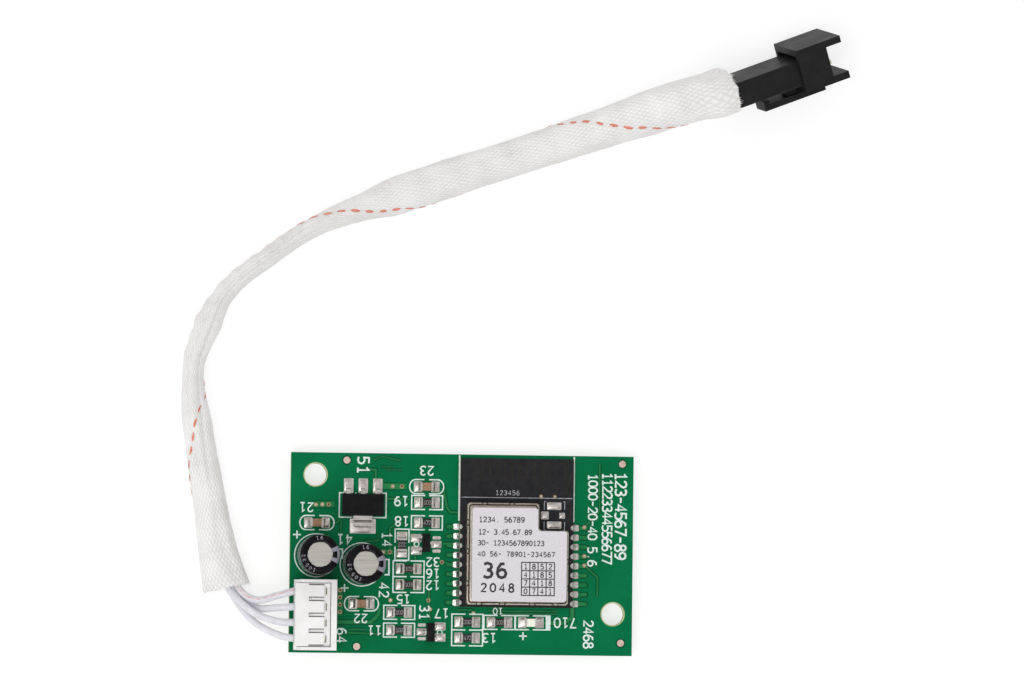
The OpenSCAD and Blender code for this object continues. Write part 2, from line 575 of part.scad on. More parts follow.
// Section ring of the sleeve: an oval that squares up over the connector
function section(i, grow) = let (a = station_w(i) / 2 + grow, b = station_h(i) / 2 + grow, e = i > last_route ? 2 / 3 : 1)
  [for (k = [0 : 11]) let (c = cos(30 * k), s = sin(30 * k))
    spine[i] + station_s(i) * a * sign(c) * pow(abs(c), e) + station_u(i) * b * sign(s) * pow(abs(s), e)];

// Hollow tube: outer rings there, inner rings back, ring faces at both mouths
module shell_tube(outer, inner) {
  n = len(outer[0]);
  rings = concat(outer, [for (k = [len(inner) - 1 : -1 : 0]) inner[k]]);
  m = len(rings);
  polyhedron(points = [for (r = rings) each r],
    faces = [for (k = [0 : m - 1], i = [0 : n - 1]) let (a = k * n + i, b = k * n + (i + 1) % n, c = ((k + 1) % m) * n + (i + 1) % n, d = ((k + 1) % m) * n + i)
      each [[a, b, c], [a, c, d]]], convexity = 6);
}

module braided_sleeve() color("#efefec")
  shell_tube([for (i = [0 : len(spine) - 1]) section(i, 0)], [for (i = [0 : len(spine) - 1]) section(i, -braid_t)]);

// Centre of wire k at station i
function wire_at(k, i) = let (b = bundle[k],
    sh = i == 0 ? mouth_shift : 0,
    st = i == last_route ? -b[0] * bundle_step : 0)
  i > last_route ? inline_point([-eps, 0, [3, -1, 1, -3][k] * inline_pitch / 2])
  : spine[i] + station_s(i) * (b[0] * bundle_gap + sh) + station_u(i) * (b[1] * bundle_gap + st);
wire_out = [for (k = [0 : 3]) [conn_x + plug_x0, conn_y + (1.5 - k) * way_pitch, wire_exit_z]];
function wire_path(k) = concat([wire_out[k]], free_run[k], [for (i = [0 : last_route + 1]) wire_at(k, i)]);

// Flat starts and ends: the first ring lies in the plug's face, the last in
// the in-line connector's rear face
function ring(c, t, r, n = 8) = let (s = unit(cross([0, 0, 1], t)), u = cross(t, s))
  [for (k = [0 : n - 1]) c + s * r * cos(360 * (k + 0.5) / n) + u * r * sin(360 * (k + 0.5) / n)];
module wire(k) color("#f2f1ee") {
  p = wire_path(k);
  m = len(p) - 1;
  loft([for (i = [0 : m]) ring(p[i], i == 0 ? [-1, 0, 0] : i == m ? station_t(last_route + 1) : tangent(p, i), wire_d / 2)]);
}

module capacitor_1_can() can(0);
module capacitor_2_can() can(1);
module capacitor_1_sleeve() can_sleeve(0);
module capacitor_2_sleeve() can_sleeve(1);
module capacitor_1_bung() can_bung(0);
module capacitor_2_bung() can_bung(1);
module capacitor_1_leads() can_leads(0);
module capacitor_2_leads() can_leads(1);

circuit_board();
module_board();
module_shield();
module_label();
module_solder();
regulator_body();
regulator_leads();
capacitor_1_can();
capacitor_1_sleeve();
capacitor_1_bung();
capacitor_1_leads();
capacitor_2_can();
capacitor_2_sleeve();
capacitor_2_bung();
capacitor_2_leads();
ceramic(0);  // ceramic_capacitor_1
ceramic(1);  // ceramic_capacitor_2
ceramic(2);  // ceramic_capacitor_3
resistor(0);  // resistor_1
resistor(1);  // resistor_2
resistor(2);  // resistor_3
resistor(3);  // resistor_4
resistor(4);  // resistor_5
resistor(5);  // resistor_6
resistor(6);  // resistor_7
resistor(7);  // resistor_8
resistor(8);  // resistor_9
resistor(9);  // resistor_10
transistor_body(0);  // transistor_1_body
transistor_leads(0);  // transistor_1_leads
transistor_body(1);  // transistor_2_body
transistor_leads(1);  // transistor_2_leads
status_led();
chip_terminals();
chip_solder();
header_shell();
header_pins();
header_joints();
plug_housing();
plug_contacts();
capacitor_joints();
wire(0);  // wire_1
wire(1);  // wire_2
wire(2);  // wire_3
wire(3);  // wire_4
braided_sleeve();
cable_connector_housing();
cable_connector_pins();
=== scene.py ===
# %% [markdown]
# # A radio control board and its sleeved lead
# The object is a small green circuit board that carries a shielded radio
# module, and a lead in a white woven sleeve that ends in a black in-line
# connector. The solids of every part were built beforehand. This
# lesson dresses them: each cell explains one piece or one finish, then makes it.
# All lengths in the lists below are in millimetres, and `MM` turns them into
# the metres that Blender works in.

# %% Load the solids
import math
import random

import bpy
from mathutils import Matrix, Vector, noise


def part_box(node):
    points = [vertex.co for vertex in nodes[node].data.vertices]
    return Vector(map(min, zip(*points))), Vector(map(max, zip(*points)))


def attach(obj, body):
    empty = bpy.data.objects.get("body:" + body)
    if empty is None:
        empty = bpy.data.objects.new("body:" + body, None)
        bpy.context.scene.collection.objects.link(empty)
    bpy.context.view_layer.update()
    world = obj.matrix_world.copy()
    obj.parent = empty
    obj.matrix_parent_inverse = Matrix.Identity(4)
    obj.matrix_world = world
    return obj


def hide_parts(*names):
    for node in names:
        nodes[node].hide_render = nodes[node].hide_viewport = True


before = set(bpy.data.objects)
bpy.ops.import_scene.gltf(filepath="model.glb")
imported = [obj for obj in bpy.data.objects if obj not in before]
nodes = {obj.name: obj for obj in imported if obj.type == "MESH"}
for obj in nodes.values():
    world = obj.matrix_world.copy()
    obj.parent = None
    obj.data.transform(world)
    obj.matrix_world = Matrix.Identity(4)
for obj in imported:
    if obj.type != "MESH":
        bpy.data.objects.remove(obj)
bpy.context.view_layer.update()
MM = 0.001
random.seed(7)

# %% [markdown]
# The camera comes first, because every later choice of detail depends on what
# it sees. The board is looked at from almost straight above through a long
# lens, so parallel edges stay parallel. It leans a few degrees to the left
# side, which is why the tall capacitors show a little of their left walls, and
# it is rolled by two thirds of a degree.

# %% Camera
LENS, SENSOR_WIDTH = 200.0, 36.0
VIEW_WIDTH = 162.4
aim = Vector((7.59, 33.82, 3.0)) * MM
forward = Vector((0.091, 0.051, -1.0)).normalized()
up = Vector((-0.0115, 1.0, 0.0))
up = (up - forward * up.dot(forward)).normalized()
right = forward.cross(up)
distance = VIEW_WIDTH * MM * LENS / SENSOR_WIDTH
camera_data = bpy.data.cameras.new("camera")
camera_data.lens = LENS
camera_data.clip_start, camera_data.clip_end = 0.05, 10.0
camera = bpy.data.objects.new("camera", camera_data)
bpy.context.scene.collection.objects.link(camera)
turn = Matrix((right, up, -forward)).transposed().to_4x4()
camera.matrix_world = Matrix.Translation(aim - forward * distance) @ turn
bpy.context.scene.camera = camera
print("camera stands", round(distance, 3), "m away")

# %% [markdown]
# Small parts read best in the light of a product table: one large soft source
# above, two weaker ones at the sides for the gloss on metal, and a pale world
# that fills the shadows.

# %% Light
LIT_SPOT = Vector((0.0, 0.03, 0.0))


def soft_light(name, place, size, watts):
    """A square area light that looks at the middle of the object."""
    data = bpy.data.lights.new(name, "AREA")
    data.shape, data.size, data.energy = "SQUARE", size, watts
    light = bpy.data.objects.new(name, data)
    light.location = place
    light.rotation_euler = (LIT_SPOT - Vector(place)).to_track_quat("-Z", "Y").to_euler()
    bpy.context.scene.collection.objects.link(light)


soft_light("key_light", (-0.25, -0.30, 0.85), 0.60, 3.6)
soft_light("fill_light", (0.55, 0.35, 0.60), 0.60, 0.8)
soft_light("left_light", (-0.70, 0.20, 0.30), 0.45, 0.8)
world = bpy.data.worlds.new("studio")
world.use_nodes = True
world.node_tree.nodes["Background"].inputs["Color"].default_value = (1.0, 1.0, 1.0, 1.0)
world.node_tree.nodes["Background"].inputs["Strength"].default_value = 0.62
bpy.context.scene.world = world
bpy.context.scene.view_settings.view_transform = "Standard"

# %% [markdown]
# Every finish below is a Principled surface with the same few helpers around
# it: a noise or other pattern gives a height, the height becomes a bump, and a
# ramp turns it into a colour. Object coordinates equal the CAD's metres, so a
# scale of 1000 means detail of about a millimetre.

# %% Finish helpers
def new_finish(name, colour, roughness, metallic=0.0, coat=0.0, sheen=0.0, specular=0.5):
    """A material, its node tree and its shader, with the plain values set."""
    material = bpy.data.materials.new(name)
    material.use_nodes = True
    tree = material.node_tree
    shader = tree.nodes["Principled BSDF"]
    shader.inputs["Base Color"].default_value = (*colour, 1.0)
    shader.inputs["Roughness"].default_value = roughness
    shader.inputs["Metallic"].default_value = metallic
    shader.inputs["Coat Weight"].default_value = coat
    shader.inputs["Coat Roughness"].default_value = 0.15
    shader.inputs["Sheen Weight"].default_value = sheen
    shader.inputs["Specular IOR Level"].default_value = specular
    return material, tree, shader


def feed(tree, value, socket):
    """Set a socket to a number, or link it to another node."""
    if isinstance(value, (int, float)):
        socket.default_value = value
    else:
        tree.links.new(value, socket)


def calc(tree, operation, a, b=0.0, c=0.0):
    """One step of arithmetic in a node tree."""
    node = tree.nodes.new("ShaderNodeMath")
    node.operation = operation
    for value, socket in zip((a, b, c), node.inputs):
        feed(tree, value, socket)
    return node.outputs[0]


def coordinates(tree, kind="Object"):
    return tree.nodes.new("ShaderNodeTexCoord").outputs[kind]


def cloud(tree, scale, detail, where=None):
    """Noise from 0 to 1, over object coordinates unless told otherwise."""
    node = tree.nodes.new("ShaderNodeTexNoise")
    tree.links.new(coordinates(tree) if where is None else where, node.inputs["Vector"])
    node.inputs["Scale"].default_value = scale
    node.inputs["Detail"].default_value = detail
    node.inputs["Roughness"].default_value = 0.55
    return node.outputs["Fac"]


def stretched(tree, factors):
    """Coordinates scaled differently along each axis, for layers and brush marks."""
    node = tree.nodes.new("ShaderNodeMapping")
    tree.links.new(coordinates(tree), node.inputs["Vector"])
    node.inputs["Scale"].default_value = factors
    return node.outputs["Vector"]


def shades(tree, value, stops):
    """A ramp from a list of (position, colour)."""
    node = tree.nodes.new("ShaderNodeValToRGB")
    tree.links.new(value, node.inputs["Fac"])
    ramp = node.color_ramp
    while len(ramp.elements) < len(stops):
        ramp.elements.new(0.5)
    for element, (position, colour) in zip(ramp.elements, stops):
        element.position = position
        element.color = (*colour, 1.0)
    return node.outputs["Color"]


def blend_colours(tree, share, first, second):
    """The first colour where share is 0, the second where it is 1."""
    node = tree.nodes.new("ShaderNodeMix")
    node.data_type = "RGBA"
    feed(tree, share, node.inputs["Factor"])
    for value, socket in ((first, node.inputs["A"]), (second, node.inputs["B"])):
        tree.links.new(value, socket)
    return node.outputs["Result"]


def raise_by(tree, shader, height, distance):
    """Bump from a height of 0 to 1 over a real distance in millimetres."""
    node = tree.nodes.new("ShaderNodeBump")
    tree.links.new(height, node.inputs["Height"])
    node.inputs["Strength"].default_value = 1.0
    node.inputs["Distance"].default_value = distance * MM
    tree.links.new(node.outputs["Normal"], shader.inputs["Normal"])


def vary_roughness(tree, shader, value, low, high):
    node = tree.nodes.new("ShaderNodeMapRange")
    tree.links.new(value, node.inputs["Value"])
    node.inputs["To Min"].default_value = low
    node.inputs["To Max"].default_value = high
    tree.links.new(node.outputs["Result"], shader.inputs["Roughness"])


def paint(tree, shader, value, stops):
    """Colour the surface by a ramp over a pattern."""
    tree.links.new(shades(tree, value, stops), shader.inputs["Base Color"])


def let_light_in(shader, weight, depths):
    """Light that enters the surface and leaves it within these depths in millimetres."""
    shader.inputs["Subsurface Weight"].default_value = weight
    shader.inputs["Subsurface Radius"].default_value = [depth * MM for depth in depths]


def speckled(name, colour, roughness, grain, stops, bump=None, **gloss):
    """A finish coloured by fine noise: grain is its scale and detail, bump has a height too."""
    material, tree, shader = new_finish(name, colour, roughness, **gloss)
    paint(tree, shader, cloud(tree, *grain), stops)
    if bump:
        raise_by(tree, shader, cloud(tree, *bump[:2]), bump[2])
    return material


def grey(value):
    return (value, value, value)


print("helpers ready")

# %% [markdown]
# The floor is a light table, as small products are often laid on: its sheet is
# almost white and glows from below, which keeps the shadows faint and shines
# through the mounting holes. A very faint cloudiness keeps it from looking computed.

# %% Floor
FLOOR_HALF, FLOOR_Z = 1.5, -0.00008
GLOW = 0.68
corners = [(-1, -1), (1, -1), (1, 1), (-1, 1)]
floor_mesh = bpy.data.meshes.new("floor")
floor_mesh.from_pydata([(x * FLOOR_HALF, y * FLOOR_HALF, FLOOR_Z) for x, y in corners], [], [(0, 1, 2, 3)])
floor = bpy.data.objects.new("floor", floor_mesh)
bpy.context.scene.collection.objects.link(floor)
floor_finish, tree, shader = new_finish("floor_paper", grey(0.36), 0.9, specular=0.1)
paint(tree, shader, cloud(tree, 6.0, 2.0), [(0.3, grey(0.35)), (0.7, grey(0.37))])
shader.inputs["Emission Color"].default_value = (1.0, 1.0, 1.0, 1.0)
shader.inputs["Emission Strength"].default_value = GLOW
floor_mesh.materials.append(floor_finish)
print("floor at", floor_mesh.vertices[0].co.z / MM, "mm")

# %% [markdown]
# `dress` does the same service for a solid that is already right: it gets a
# finish and, where its real edges are broken, a small bevel, which may have a
# paler finish of its own: a painted highlight along the edges.

# %% Piece helpers
def new_piece(name, points, faces, finishes, smooth=False, finish_of=None, uv=None, stands_for=()):
    """A mesh that rides on the object; finish_of gives the number of each face's finish."""
    mesh = bpy.data.meshes.new(name)
    mesh.from_pydata([Vector(p) * MM for p in points], [], faces)
    for finish in finishes if isinstance(finishes, (list, tuple)) else [finishes]:
        mesh.materials.append(finish)
    if finish_of:
        for polygon, index in zip(mesh.polygons, finish_of):
            polygon.material_index = index
    if uv:
        layer = mesh.uv_layers.new(name="UVMap")
        layer.data.foreach_set("uv", [c for pair in uv for c in pair])
    mesh.polygons.foreach_set("use_smooth", [smooth] * len(mesh.polygons))
    mesh.update()
    piece = bpy.data.objects.new(name, mesh)
    bpy.context.scene.collection.objects.link(piece)
    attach(piece, "root")
    if stands_for:
        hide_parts(*stands_for)
    return piece


def dress(name, finish, bevel=0.0, segments=2, bevel_highlight=None):
    """Give a solid its finish and break its edges by a bevel in millimetres."""
    piece = nodes[name]
    piece.data.materials.clear()
    piece.data.materials.append(finish)
    if bevel:
        edge = piece.modifiers.new("broken edges", "BEVEL")
        edge.width, edge.segments = bevel * MM, segments
        edge.limit_method, edge.angle_limit = "ANGLE", math.radians(35)
        # The bevel may get a paler finish: a painted highlight along the edges.
        if bevel_highlight:
            piece.data.materials.append(bevel_highlight)
            edge.material = 1


print("piece helpers ready")

# %% [markdown]
# ## The lead
# The lead is four thin wires in a sleeve of woven glass fibre. The sleeve is a
# limp flat tube: wide at its mouths, pinched where it bends. Its line runs
# through the same stations as the solid. Each station is a place, then the
# width and height of the section and how far it is rolled. Only the last
# stations, at the in-line connector, stand a little higher and wider than the
# solid's, as a stiff mouth pushed over a block does. The in-line
# connector at the far end is tilted, so its own turn is worked out here too.

# %% Stations of the lead
ROUTE = [
    (-37.1, -5.6, 2.0, 7.4, 3.9, 0), (-38.7, 1.2, 2.3, 5.9, 4.4, 0), (-41.4, 16, 2.5, 4.8, 4.8, 0),
    (-42.9, 27.5, 2.6, 3.9, 5.0, 0), (-41.3, 34, 2.6, 4.3, 5.0, 0), (-37.7, 41.1, 2.5, 3.9, 4.8, 0),
    (-31, 46.8, 2.5, 3.8, 4.8, 0), (-23, 52, 2.4, 3.9, 4.6, 0), (-12, 56.4, 2.2, 5.8, 4.2, 0),
    (12, 64.6, 2.3, 6.0, 4.4, 0), (32.9, 71.7, 7.8, 7.2, 7.6, 12),
]
INLINE_AT = Vector((40.2, 73.1, 8.9))
INLINE_TURN = (Matrix.Rotation(math.radians(21.5), 3, "Z") @ Matrix.Rotation(math.radians(10.5), 3, "Y")
               @ Matrix.Rotation(math.radians(17.5), 3, "X"))
MOUTH_WIDTH, MOUTH_HEIGHT, MOUTH_ASIDE = 7.1, 9.3, 0.6
BEFORE_REAR, OVER_REAR = -1.6, 0.8
ROUND_SECTION, SQUARE_SECTION = 1.0, 2 / 3
UP = Vector((0, 0, 1))


def inline_point(x, y, z):
    """A point given in the in-line connector's own axes."""
    return INLINE_AT + INLINE_TURN @ Vector((x, y, z))


stations = []
for k, (x, y, z, wide, high, roll) in enumerate(ROUTE):
    here = Vector((x, y, z))
    before = Vector(ROUTE[max(k - 1, 0)][:3])
    after = Vector(ROUTE[k + 1][:3]) if k + 1 < len(ROUTE) else INLINE_AT
    along = (after - here).normalized()
    if k:
        along = (along + (here - before).normalized()).normalized()
    side = UP.cross(along).normalized()
    turn = math.radians(roll)
    side = side * math.cos(turn) + along.cross(side) * math.sin(turn)
    stations.append([here, side, wide, high, ROUND_SECTION])
sideways = INLINE_TURN @ Vector((0, 1, 0))
for x in (BEFORE_REAR, OVER_REAR):
    stations.append([inline_point(x, MOUTH_ASIDE, 0), sideways, MOUTH_WIDTH, MOUTH_HEIGHT, SQUARE_SECTION])


def through(values, u):
    """Smooth curve through values that stand at whole numbers of u."""
    k = min(max(int(u), 0), len(values) - 2)
    t = u - k
    a, b = values[k], values[k + 1]
    before = values[k - 1] if k else a * 2 - b
    after = values[k + 2] if k + 2 < len(values) else b * 2 - a
    square = before * 2 - a * 5 + b * 4 - after
    cube = a * 3 - b * 3 + after - before
    return ((a * 2) + (b - before) * t + square * t * t + cube * t ** 3) * 0.5


FINE = 60


def even_steps(values, step):
    """(places, station numbers, length) of the curve through values, a step apart."""
    fine = [k / FINE for k in range(FINE * (len(values) - 1) + 1)]
    line = [through(values, u) for u in fine]
    runs = [0.0]
    for a, b in zip(line, line[1:]):
        runs.append(runs[-1] + (b - a).length)
    count = max(2, round(runs[-1] / step))
    places, numbers, j = [], [], 0
    for k in range(count + 1):
        want = runs[-1] * k / count
        while j < len(runs) - 2 and runs[j + 1] < want:
            j += 1
        part = (want - runs[j]) / max(runs[j + 1] - runs[j], 1e-9)
        numbers.append(fine[j] + (fine[j + 1] - fine[j]) * part)
        places.append(line[j].lerp(line[j + 1], part))
    return places, numbers, runs[-1]


SLEEVE_STEP = 0.25
spine = [station[0] for station in stations]
sleeve_line, sleeve_numbers, sleeve_length = even_steps(spine, SLEEVE_STEP)
print("sleeve is", round(sleeve_length, 1), "mm long,", len(sleeve_line), "rings")

# %% [markdown]
# The wires have soft white insulation that lets a little light in. Two of them
# carry a printed red line, whose colour is worn in places.

# %% Wire insulation
wire_finish, tree, shader = new_finish("wire_insulation", (0.82, 0.81, 0.85), 0.45, specular=0.35)
paint(tree, shader, cloud(tree, 900.0, 2.0), [(0.3, (0.65, 0.64, 0.69)), (0.7, (0.75, 0.74, 0.78))])
raise_by(tree, shader, cloud(tree, 2500.0, 2.0), 0.006)
let_light_in(shader, 0.12, (0.6, 0.5, 0.5))
stripe_finish = speckled(
    "wire_red_line", (0.66, 0.24, 0.23), 0.45, (1400.0, 4.0),
    [(0.38, (0.80, 0.66, 0.68)), (0.62, (0.62, 0.20, 0.19))])
print("finishes:", wire_finish.name, stripe_finish.name)

# %% [markdown]
# The four wires are round, so each could be a bevelled curve. They are made as
# mesh tubes instead, because the printed red line on two of them then follows
# its own strip of the tube. They leave the white connector side by side,
# gather in the sleeve's mouth, run two by two inside it, and spread again into
# the four ways of the in-line connector. `RED_STRIP` says which strip is red.

# %% Four wires
WIRE_D, WIRE_SIDES, WIRE_STEP = 1.15, 24, 0.7
RED_STRIP = {0: 7, 3: 11}
BUNDLE = [(-1, 1), (-1, -1), (1, 1), (1, -1)]
GAP, STEP, MOUTH_SHIFT = 0.62, 0.31, -0.9
WIRE_OUT = [(-26.5, -6.1, 6.0), (-26.5, -8.6, 6.0), (-26.5, -11.1, 6.0), (-26.5, -13.6, 6.0)]
FREE_RUN = [
    [(-29.3, -6.9, 5.8), (-32.6, -7.6, 4.4)], [(-29.3, -8.8, 5.4), (-32.5, -8.7, 3.1)],
    [(-29.3, -10.9, 5.8), (-33.0, -9.5, 4.6)], [(-29.2, -13.0, 5.4), (-33.1, -10.7, 3.1)],
]
INLINE_WAYS = [3, -1, 1, -3]


def tube(line, radius, sides, first_along, last_along):
    """Rings of points round a line, with the frame carried from ring to ring."""
    rings = []
    across = None
    for k, here in enumerate(line):
        along = (line[min(k + 1, len(line) - 1)] - line[max(k - 1, 0)]).normalized()
        if k == 0:
            along = first_along
        if k == len(line) - 1:
            along = last_along
        if across is None:
            across = UP.cross(along).normalized()
        else:
            across = (across - along * across.dot(along)).normalized()
        over = along.cross(across)
        turns = [2 * math.pi * i / sides for i in range(sides)]
        rings.append([here + (across * math.cos(a) + over * math.sin(a)) * radius for a in turns])
    return rings


def skin(rings, closed_ends=True):
    """Points and faces of a surface stretched over rings of equal count."""
    n = len(rings[0])
    points = [p for ring in rings for p in ring]
    faces = [(k * n + i, k * n + (i + 1) % n, (k + 1) * n + (i + 1) % n, (k + 1) * n + i)
             for k in range(len(rings) - 1) for i in range(n)]
    if closed_ends:
        faces += [tuple(range(n - 1, -1, -1)), tuple(range((len(rings) - 1) * n, len(rings) * n))]
    return points, faces


for k in range(4):
    path = [Vector(WIRE_OUT[k])] + [Vector(p) for p in FREE_RUN[k]]
    for i, (here, side, _, _, _) in enumerate(stations[: len(ROUTE)]):
        ahead = stations[i + 1][0] - here if i == 0 else stations[i + 1][0] - stations[i - 1][0]
        over = ahead.normalized().cross(side)
        shift = MOUTH_SHIFT if i == 0 else 0.0
        lift = -BUNDLE[k][0] * STEP if i == len(ROUTE) - 1 else 0.0
        path.append(here + side * (BUNDLE[k][0] * GAP + shift) + over * (BUNDLE[k][1] * GAP + lift))
    path.append(inline_point(-0.01, 0, INLINE_WAYS[k]))
    line, _, length = even_steps(path, WIRE_STEP)
    rings = tube(line, WIRE_D / 2, WIRE_SIDES, Vector((-1, 0, 0)), INLINE_TURN @ Vector((1, 0, 0)))
    points, faces = skin(rings)
    strip, walls = RED_STRIP.get(k), len(faces) - 2
    shown = [int(f < walls and f % WIRE_SIDES == strip) for f in range(len(faces))]
    wire = new_piece(f"lead_wire_{k + 1}", points, faces, [wire_finish, stripe_finish],
        smooth=True, finish_of=shown, stands_for=[f"wire_{k + 1}"])
    print(wire.name, round(length, 1), "mm")

# %% [markdown]
# The sleeve is one long surface that the eye follows from end to end, so it is
# built as a fine grid: rings every quarter of a millimetre, and on each ring
# points that are pushed in or out. Width, long creases where the flat tube
# folds, small crosswise wrinkles inside the bend and a slow unevenness are each
# one short term in `sleeve_point`. A simulated cloth wouldn't keep to this line.

# %% Sleeve shape
WIDTHS = [
    (0, 7.5), (7, 5.9), (12, 5.3), (17.5, 5.1), (26.6, 4.6), (33.3, 3.4), (35.7, 3.4), (39.7, 3.9),
    (42.6, 4.4), (46.5, 3.3), (50.9, 3.1), (57.5, 3.1), (62.8, 3.0), (66.8, 3.2), (74.4, 4.4),
    (80.3, 6.0), (88.9, 6.2), (93.9, 5.8), (107.2, 6.0), (116, 6.5), (124, 7.1), (130, 7.3),
]
ALWAYS, WIDTHS_FADE = -50, 126
sleeve_run = [sleeve_length * k / (len(sleeve_line) - 1) for k in range(len(sleeve_line))]


def step_in(table, x):
    """Straight-line reading of a table of pairs."""
    for (a, fa), (b, fb) in zip(table, table[1:]):
        if x <= b:
            return fa + (fb - fa) * max(x - a, 0) / (b - a)
    return table[-1][1]


def swell(x, middle, spread):
    """A smooth hump of height 1."""
    return math.exp(-((x - middle) / spread) ** 2)


def window(x, first, last, soft):
    """1 between first and last, 0 outside, with soft ends."""
    return 1 / (1 + math.exp(-(x - first) / soft)) / (1 + math.exp((x - last) / soft))


def sleeve_frame(run):
    """Place, directions, width, height and squareness of the section at a running length."""
    position = run / sleeve_length * (len(sleeve_line) - 1)
    k = min(max(int(position), 0), len(sleeve_line) - 2)
    t = position - k
    here = sleeve_line[k].lerp(sleeve_line[k + 1], t)
    along = (sleeve_line[min(k + 9, len(sleeve_line) - 1)] - sleeve_line[max(k - 8, 0)]).normalized()
    number = sleeve_numbers[k] + (sleeve_numbers[k + 1] - sleeve_numbers[k]) * t
    j = min(int(number), len(stations) - 2)
    part = number - j
    a, b = stations[j], stations[j + 1]
    side = a[1].lerp(b[1], part)
    side = (side - along * side.dot(along)).normalized()
    wide, high, power = (a[i] + (b[i] - a[i]) * part for i in (2, 3, 4))
    if run < WIDTHS[-1][0]:
        share = window(run, ALWAYS, WIDTHS_FADE, 1.2)
        wide = wide + (step_in(WIDTHS, run) - wide) * share
    return here, along, side, along.cross(side), wide, high, power


def sleeve_point(run, angle, grow=0.0):
    """A point of the surface; grow moves it outwards, or inwards when negative."""
    here, along, side, over, wide, high, power = sleeve_frame(run)
    c, s = math.cos(angle), math.sin(angle)
    turn = math.degrees(angle) % 360
    a = wide / 2 + grow
    b = high / 2 + grow
    push = 0.0
    fold = window(run, 16, 66, 2.5)
    push -= 0.34 * fold * swell(turn, 66 + 10 * math.sin(run / 7.0), 9)
    push -= 0.26 * fold * swell(turn, 112 + 9 * math.sin(run / 5.0 + 1.0), 8)
    push += 0.10 * fold * swell(turn, 90 + 6 * math.sin(run / 6.0), 10)
    push += 0.09 * window(run, 36, 64, 2.0) * math.sin(run * 2.1 + 2.2 * math.sin(angle)) * (0.6 + 0.4 * c)
    push += 0.30 * swell(run, 78.0, 2.0) * swell(turn, 175, 30)
    push -= 0.16 * window(run, 70, 118, 4.0) * swell(turn, run * 0.7, 13)
    push += 0.10 * window(run, ALWAYS, 9, 1.5) * math.sin(5 * angle + run * 0.25)
    coarse = noise.noise(Vector((run * 0.16, 2 * c, 2 * s)))
    fine = noise.noise(Vector((run * 0.45, 3 * c + 7, 3 * s)))
    push += 0.16 * (coarse + 0.5 * fine)
    edge = 0.30 * noise.noise(Vector((3.1 * c, 3.1 * s, 5.0)))
    shift = edge * (math.exp(-run / 0.8) + math.exp(-(sleeve_length - run) / 0.8))
    spot = here + along * shift
    spot += side * (a + push) * math.copysign(abs(c) ** power, c)
    spot += over * (b + push) * math.copysign(abs(s) ** power, s)
    spot.z = max(spot.z, 0.06 + grow * 0.2)
    return spot


print("widest", max(w for _, w in WIDTHS), "mm, narrowest", min(w for _, w in WIDTHS), "mm")

# %% [markdown]
# Woven glass fibre is white but not plain: two sets of flat yarns cross on the
# slant, and each crossing is a small pillow about two thirds of a
# millimetre wide. The finish computes which yarn lies on top in each cell from
# the piece's own running lengths, so the pattern follows every bend.

# %% Woven glass fibre finish
def hump(tree, value):
    """The rounded back of one yarn, from 0 at its sides to 1 in its middle."""
    wave = calc(tree, "ABSOLUTE", calc(tree, "SINE", calc(tree, "MULTIPLY", value, math.pi)))
    return calc(tree, "POWER", wave, 1.6)


YARNS_ROUND, YARN_RUN, GIRTH = 30, 1.25, 19.0
braid_finish, tree, shader = new_finish("glass_braid", (0.86, 0.85, 0.84), 0.72, sheen=0.10)
parts = tree.nodes.new("ShaderNodeSeparateXYZ")
tree.links.new(coordinates(tree, "UV"), parts.inputs["Vector"])
around = calc(tree, "MULTIPLY", parts.outputs["X"], YARNS_ROUND)
along_run = calc(tree, "DIVIDE", parts.outputs["Y"], YARN_RUN)
one = calc(tree, "ADD", around, along_run)
two = calc(tree, "SUBTRACT", around, along_run)
hump_one, hump_two = hump(tree, one), hump(tree, two)
which = calc(tree, "PINGPONG", calc(tree, "ADD", calc(tree, "FLOOR", one), calc(tree, "FLOOR", two)), 1.0)
top_one = calc(tree, "MULTIPLY", hump_one, calc(tree, "MULTIPLY_ADD", hump_two, 0.45, 0.55))
top_two = calc(tree, "MULTIPLY", hump_two, calc(tree, "MULTIPLY_ADD", hump_one, 0.45, 0.55))
weave = calc(tree, "ADD", calc(tree, "MULTIPLY", top_one, which), calc(tree, "MULTIPLY", top_two,
    calc(tree, "SUBTRACT", 1.0, which)))
fuzz = cloud(tree, 5200.0, 3.0)
height = calc(tree, "MULTIPLY_ADD", fuzz, 0.25, weave)
patch = cloud(tree, 260.0, 3.0)
# The weave term darkens the colour in the hollows between yarns: painted shade. The patch and fuzz terms
# are the yarns' own uneven tone.
tone = calc(tree, "MULTIPLY_ADD", patch, 0.5, calc(tree, "MULTIPLY_ADD", fuzz, 0.25, calc(tree, "MULTIPLY",
    weave, 0.35)))
paint(
    tree, shader, tone,
    [(0.30, (0.67, 0.655, 0.645)), (0.55, (0.80, 0.79, 0.78)), (0.80, (0.89, 0.88, 0.87))])
raise_by(tree, shader, height, 0.06)
let_light_in(shader, 0.15, (0.9, 0.8, 0.8))
print("weave cell about", round(GIRTH / YARNS_ROUND, 2), "mm wide")

# %% [markdown]
# The rings are computed for the outside, and once more a wall's thickness
# further in for a short cuff at both mouths, so one can look into the sleeve
# and see its inner face. The texture coordinates are running lengths.

# %% Sleeve
AROUND, CUFF, CUFF_RINGS, WALL = 72, 6.0, 13, 0.28


def sleeve_ring(run, grow=0.0):
    return [sleeve_point(run, 2 * math.pi * i / AROUND, grow) for i in range(AROUND)]


